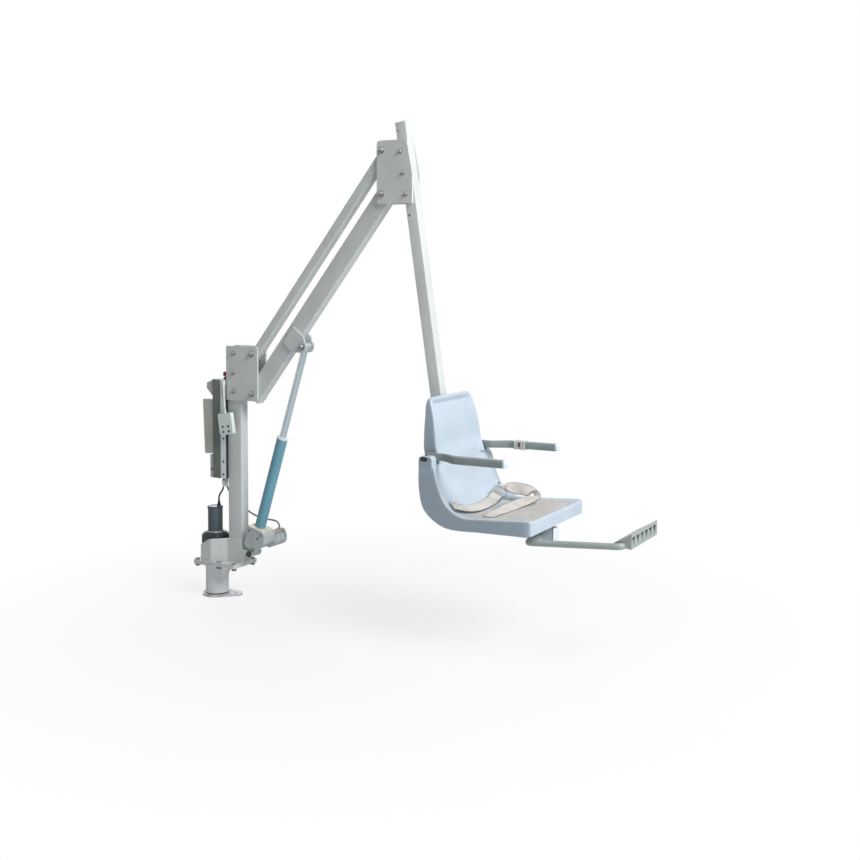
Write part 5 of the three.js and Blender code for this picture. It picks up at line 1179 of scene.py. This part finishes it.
# Actuator: places on its housing are [forward of the rod's axis, y, up along it] from the base pin
COVER_RIDGES = [((6, -41.8, 30), (11.5, -39.8, 122), 0.9)]
COVER_RIDGES += [((x, -41.2, 64), (x + 2.2, -39.8, 114), 0.6) for x in (-20, -13)]
COVER_SCREWS = [(0.040, 0.108), (0.028, 0.090), (-0.027, 0.106), (0.018, 0.034)]
COVER_FACE = -0.0400
MOTOR_RADIUS, BAND_HEIGHT, WIRE_RADIUS = 0.034, 0.0022, 0.0022
BAND_PLACES, TIE_PLACES, WIRE_START, WIRE_END = (0.050, 0.130), (0.064, 0.090, 0.116), 0.040, 0.136


def actuator_trim():
    """The seam ridge and screws of the cover, the motor's bands, and the wires tied along the motor."""
    forward = Vector((ROD_AXIS.z, 0, -ROD_AXIS.x))
    turn = Matrix((forward, Vector(FAR), ROD_AXIS)).transposed().to_4x4()
    turn.translation = BASE_PIN
    add_mesh("actuator_ridge", boxes(COVER_RIDGES, turn), "housing", "actuator")
    places = [turn @ Vector((a, COVER_FACE, b)) for a, b in COVER_SCREWS]
    screws = [socket_screw(place, NEAR, 0.0042, 0.0016) for place in places]
    add_mesh("actuator_cover_screws", merge(*screws), "dark_steel", "actuator")

    low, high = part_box("actuator_motor")
    x, z = (low[0] + high[0]) / 2, (low[2] + high[2]) / 2
    outer = MOTOR_RADIUS + BAND_HEIGHT
    bands = [band(MOTOR_RADIUS + 0.0002, outer, 0.004, 0.001, (x, y, z), FAR) for y in BAND_PLACES]
    add_mesh("actuator_motor_bands", merge(*bands), "housing", "actuator", 0.0004)
    strands = []
    for offset, lift in ((-14, 1.0), (-5, 1.6), (4, 1.2), (12, 0.8)):
        px, pz = arc(x, z, outer, 60 + offset, 0, 1)[0]
        wire = [Vector((px, y, pz + 0.0006 * lift * math.sin(y * 90 + offset)))
                for y in np.linspace(WIRE_START, WIRE_END, 18)]
        strands.append(tube(wire, WIRE_RADIUS, 8))
    add_mesh("actuator_wires", merge(*strands), "loom", "actuator")
    ties = [band(MOTOR_RADIUS - 0.0004, MOTOR_RADIUS + 0.0008, 0.0014, 0, (x, y, z), FAR) for y in TIE_PLACES]
    add_mesh("actuator_wire_ties", merge(*ties), "loom", "actuator")


actuator_trim()

# Stop button: a neck and a mushroom head with a rounded edge
STOP_X, STOP_TOP, STOP_RADIUS = 0.062, 1.040, 0.0135
STOP_ROUND_OUT, STOP_ROUND_UP = 0.0052, 0.006


def stop_button():
    """The mushroom, turned about its axis."""
    shoulder = STOP_TOP - STOP_ROUND_UP
    profile = [(0, 1.0103), (0.006, 1.0103), (0.006, 1.019), (0.0125, 1.019), (STOP_RADIUS, 1.0205),
               (STOP_RADIUS, shoulder)]
    for c, s in arc(0, 0, 1, 18, 18, 5):
        profile.append((STOP_RADIUS - STOP_ROUND_OUT * (1 - c), shoulder + STOP_ROUND_UP * s))
    profile += [(0.005, STOP_TOP - 0.0006), (0, STOP_TOP - 0.0009)]
    mushroom = lathe(profile, (STOP_X, 0, 0), UP, 40)
    obj = add_mesh("stop_mushroom", mushroom, "stop", "stop_button")
    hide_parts("stop_button")


stop_button()

# Stage and light
AMBIENT = 0.14
FLOOR_RADIUS = 30
FLOOR_PLACE = (0.9, 0, -0.0004)
WHITE = (1, 1, 1, 1)


def area_light(name, place, target, size, power, color):
    """A square lamp at a place, turned to a target."""
    light = bpy.data.lights.new(name, "AREA")
    light.shape = "SQUARE"
    light.size = size
    light.energy = power
    light.color = color
    obj = bpy.data.objects.new(name, light)
    obj.location = place
    obj.rotation_mode = "QUATERNION"
    obj.rotation_quaternion = (Vector(target) - Vector(place)).to_track_quat("-Z", "Y")
    bpy.context.scene.collection.objects.link(obj)


def stage():
    """A pale floor that fades into white, a white world with little light in it, and two lamps."""
    scene = bpy.context.scene
    scene.view_settings.view_transform = "Standard"
    bpy.ops.mesh.primitive_circle_add(vertices=96, radius=FLOOR_RADIUS, fill_type="NGON", location=FLOOR_PLACE)
    floor = bpy.context.object
    floor.name = "floor"
    s = Shader("floor", 0.9)
    s.set("Base Color", s.mix(s.noise(3.0), (0.86, 0.865, 0.87, 1), (0.9, 0.9, 0.9, 1)))
    s.set("Specular IOR Level", 0.1)
    white = s.node("ShaderNodeEmission", {"Color": WHITE, "Strength": 1.0}).outputs[0]
    away = s.node("ShaderNodeVectorMath", {0: s.coords}, operation="LENGTH").outputs["Value"]
    seen = s.node("ShaderNodeLightPath").outputs["Is Camera Ray"]
    fade = s.times(s.ramp(away, 0.5, 2.2, 0.78, 1.0), seen)
    blend = s.node("ShaderNodeMixShader", {0: fade, 1: s.bsdf.outputs[0], 2: white}).outputs[0]
    s.put(s.out.inputs["Surface"], blend)
    floor.data.materials.append(s.material)

    scene.world = bpy.data.worlds.new("world")
    w = Nodes(scene.world)
    ambient = w.node("ShaderNodeBackground", {"Color": (0.93, 0.96, 1, 1), "Strength": AMBIENT}).outputs[0]
    plain = w.node("ShaderNodeBackground", {"Color": WHITE}).outputs[0]
    rays = w.node("ShaderNodeLightPath").outputs
    shown = w.math("MAXIMUM", rays["Is Camera Ray"], rays["Is Glossy Ray"])
    pick = w.node("ShaderNodeMixShader", {0: shown, 1: ambient, 2: plain}).outputs[0]
    w.node("ShaderNodeOutputWorld", {"Surface": pick})

    area_light("back", (-4.0, 4.2, 3.2), (0.7, 0, 1.0), 3.0, 110, (0.97, 0.985, 1.0))
    area_light("key", (6.0, -1.2, 5.4), (0.9, 0, 0.9), 3.6, 490, (0.985, 0.99, 1.0))


stage()
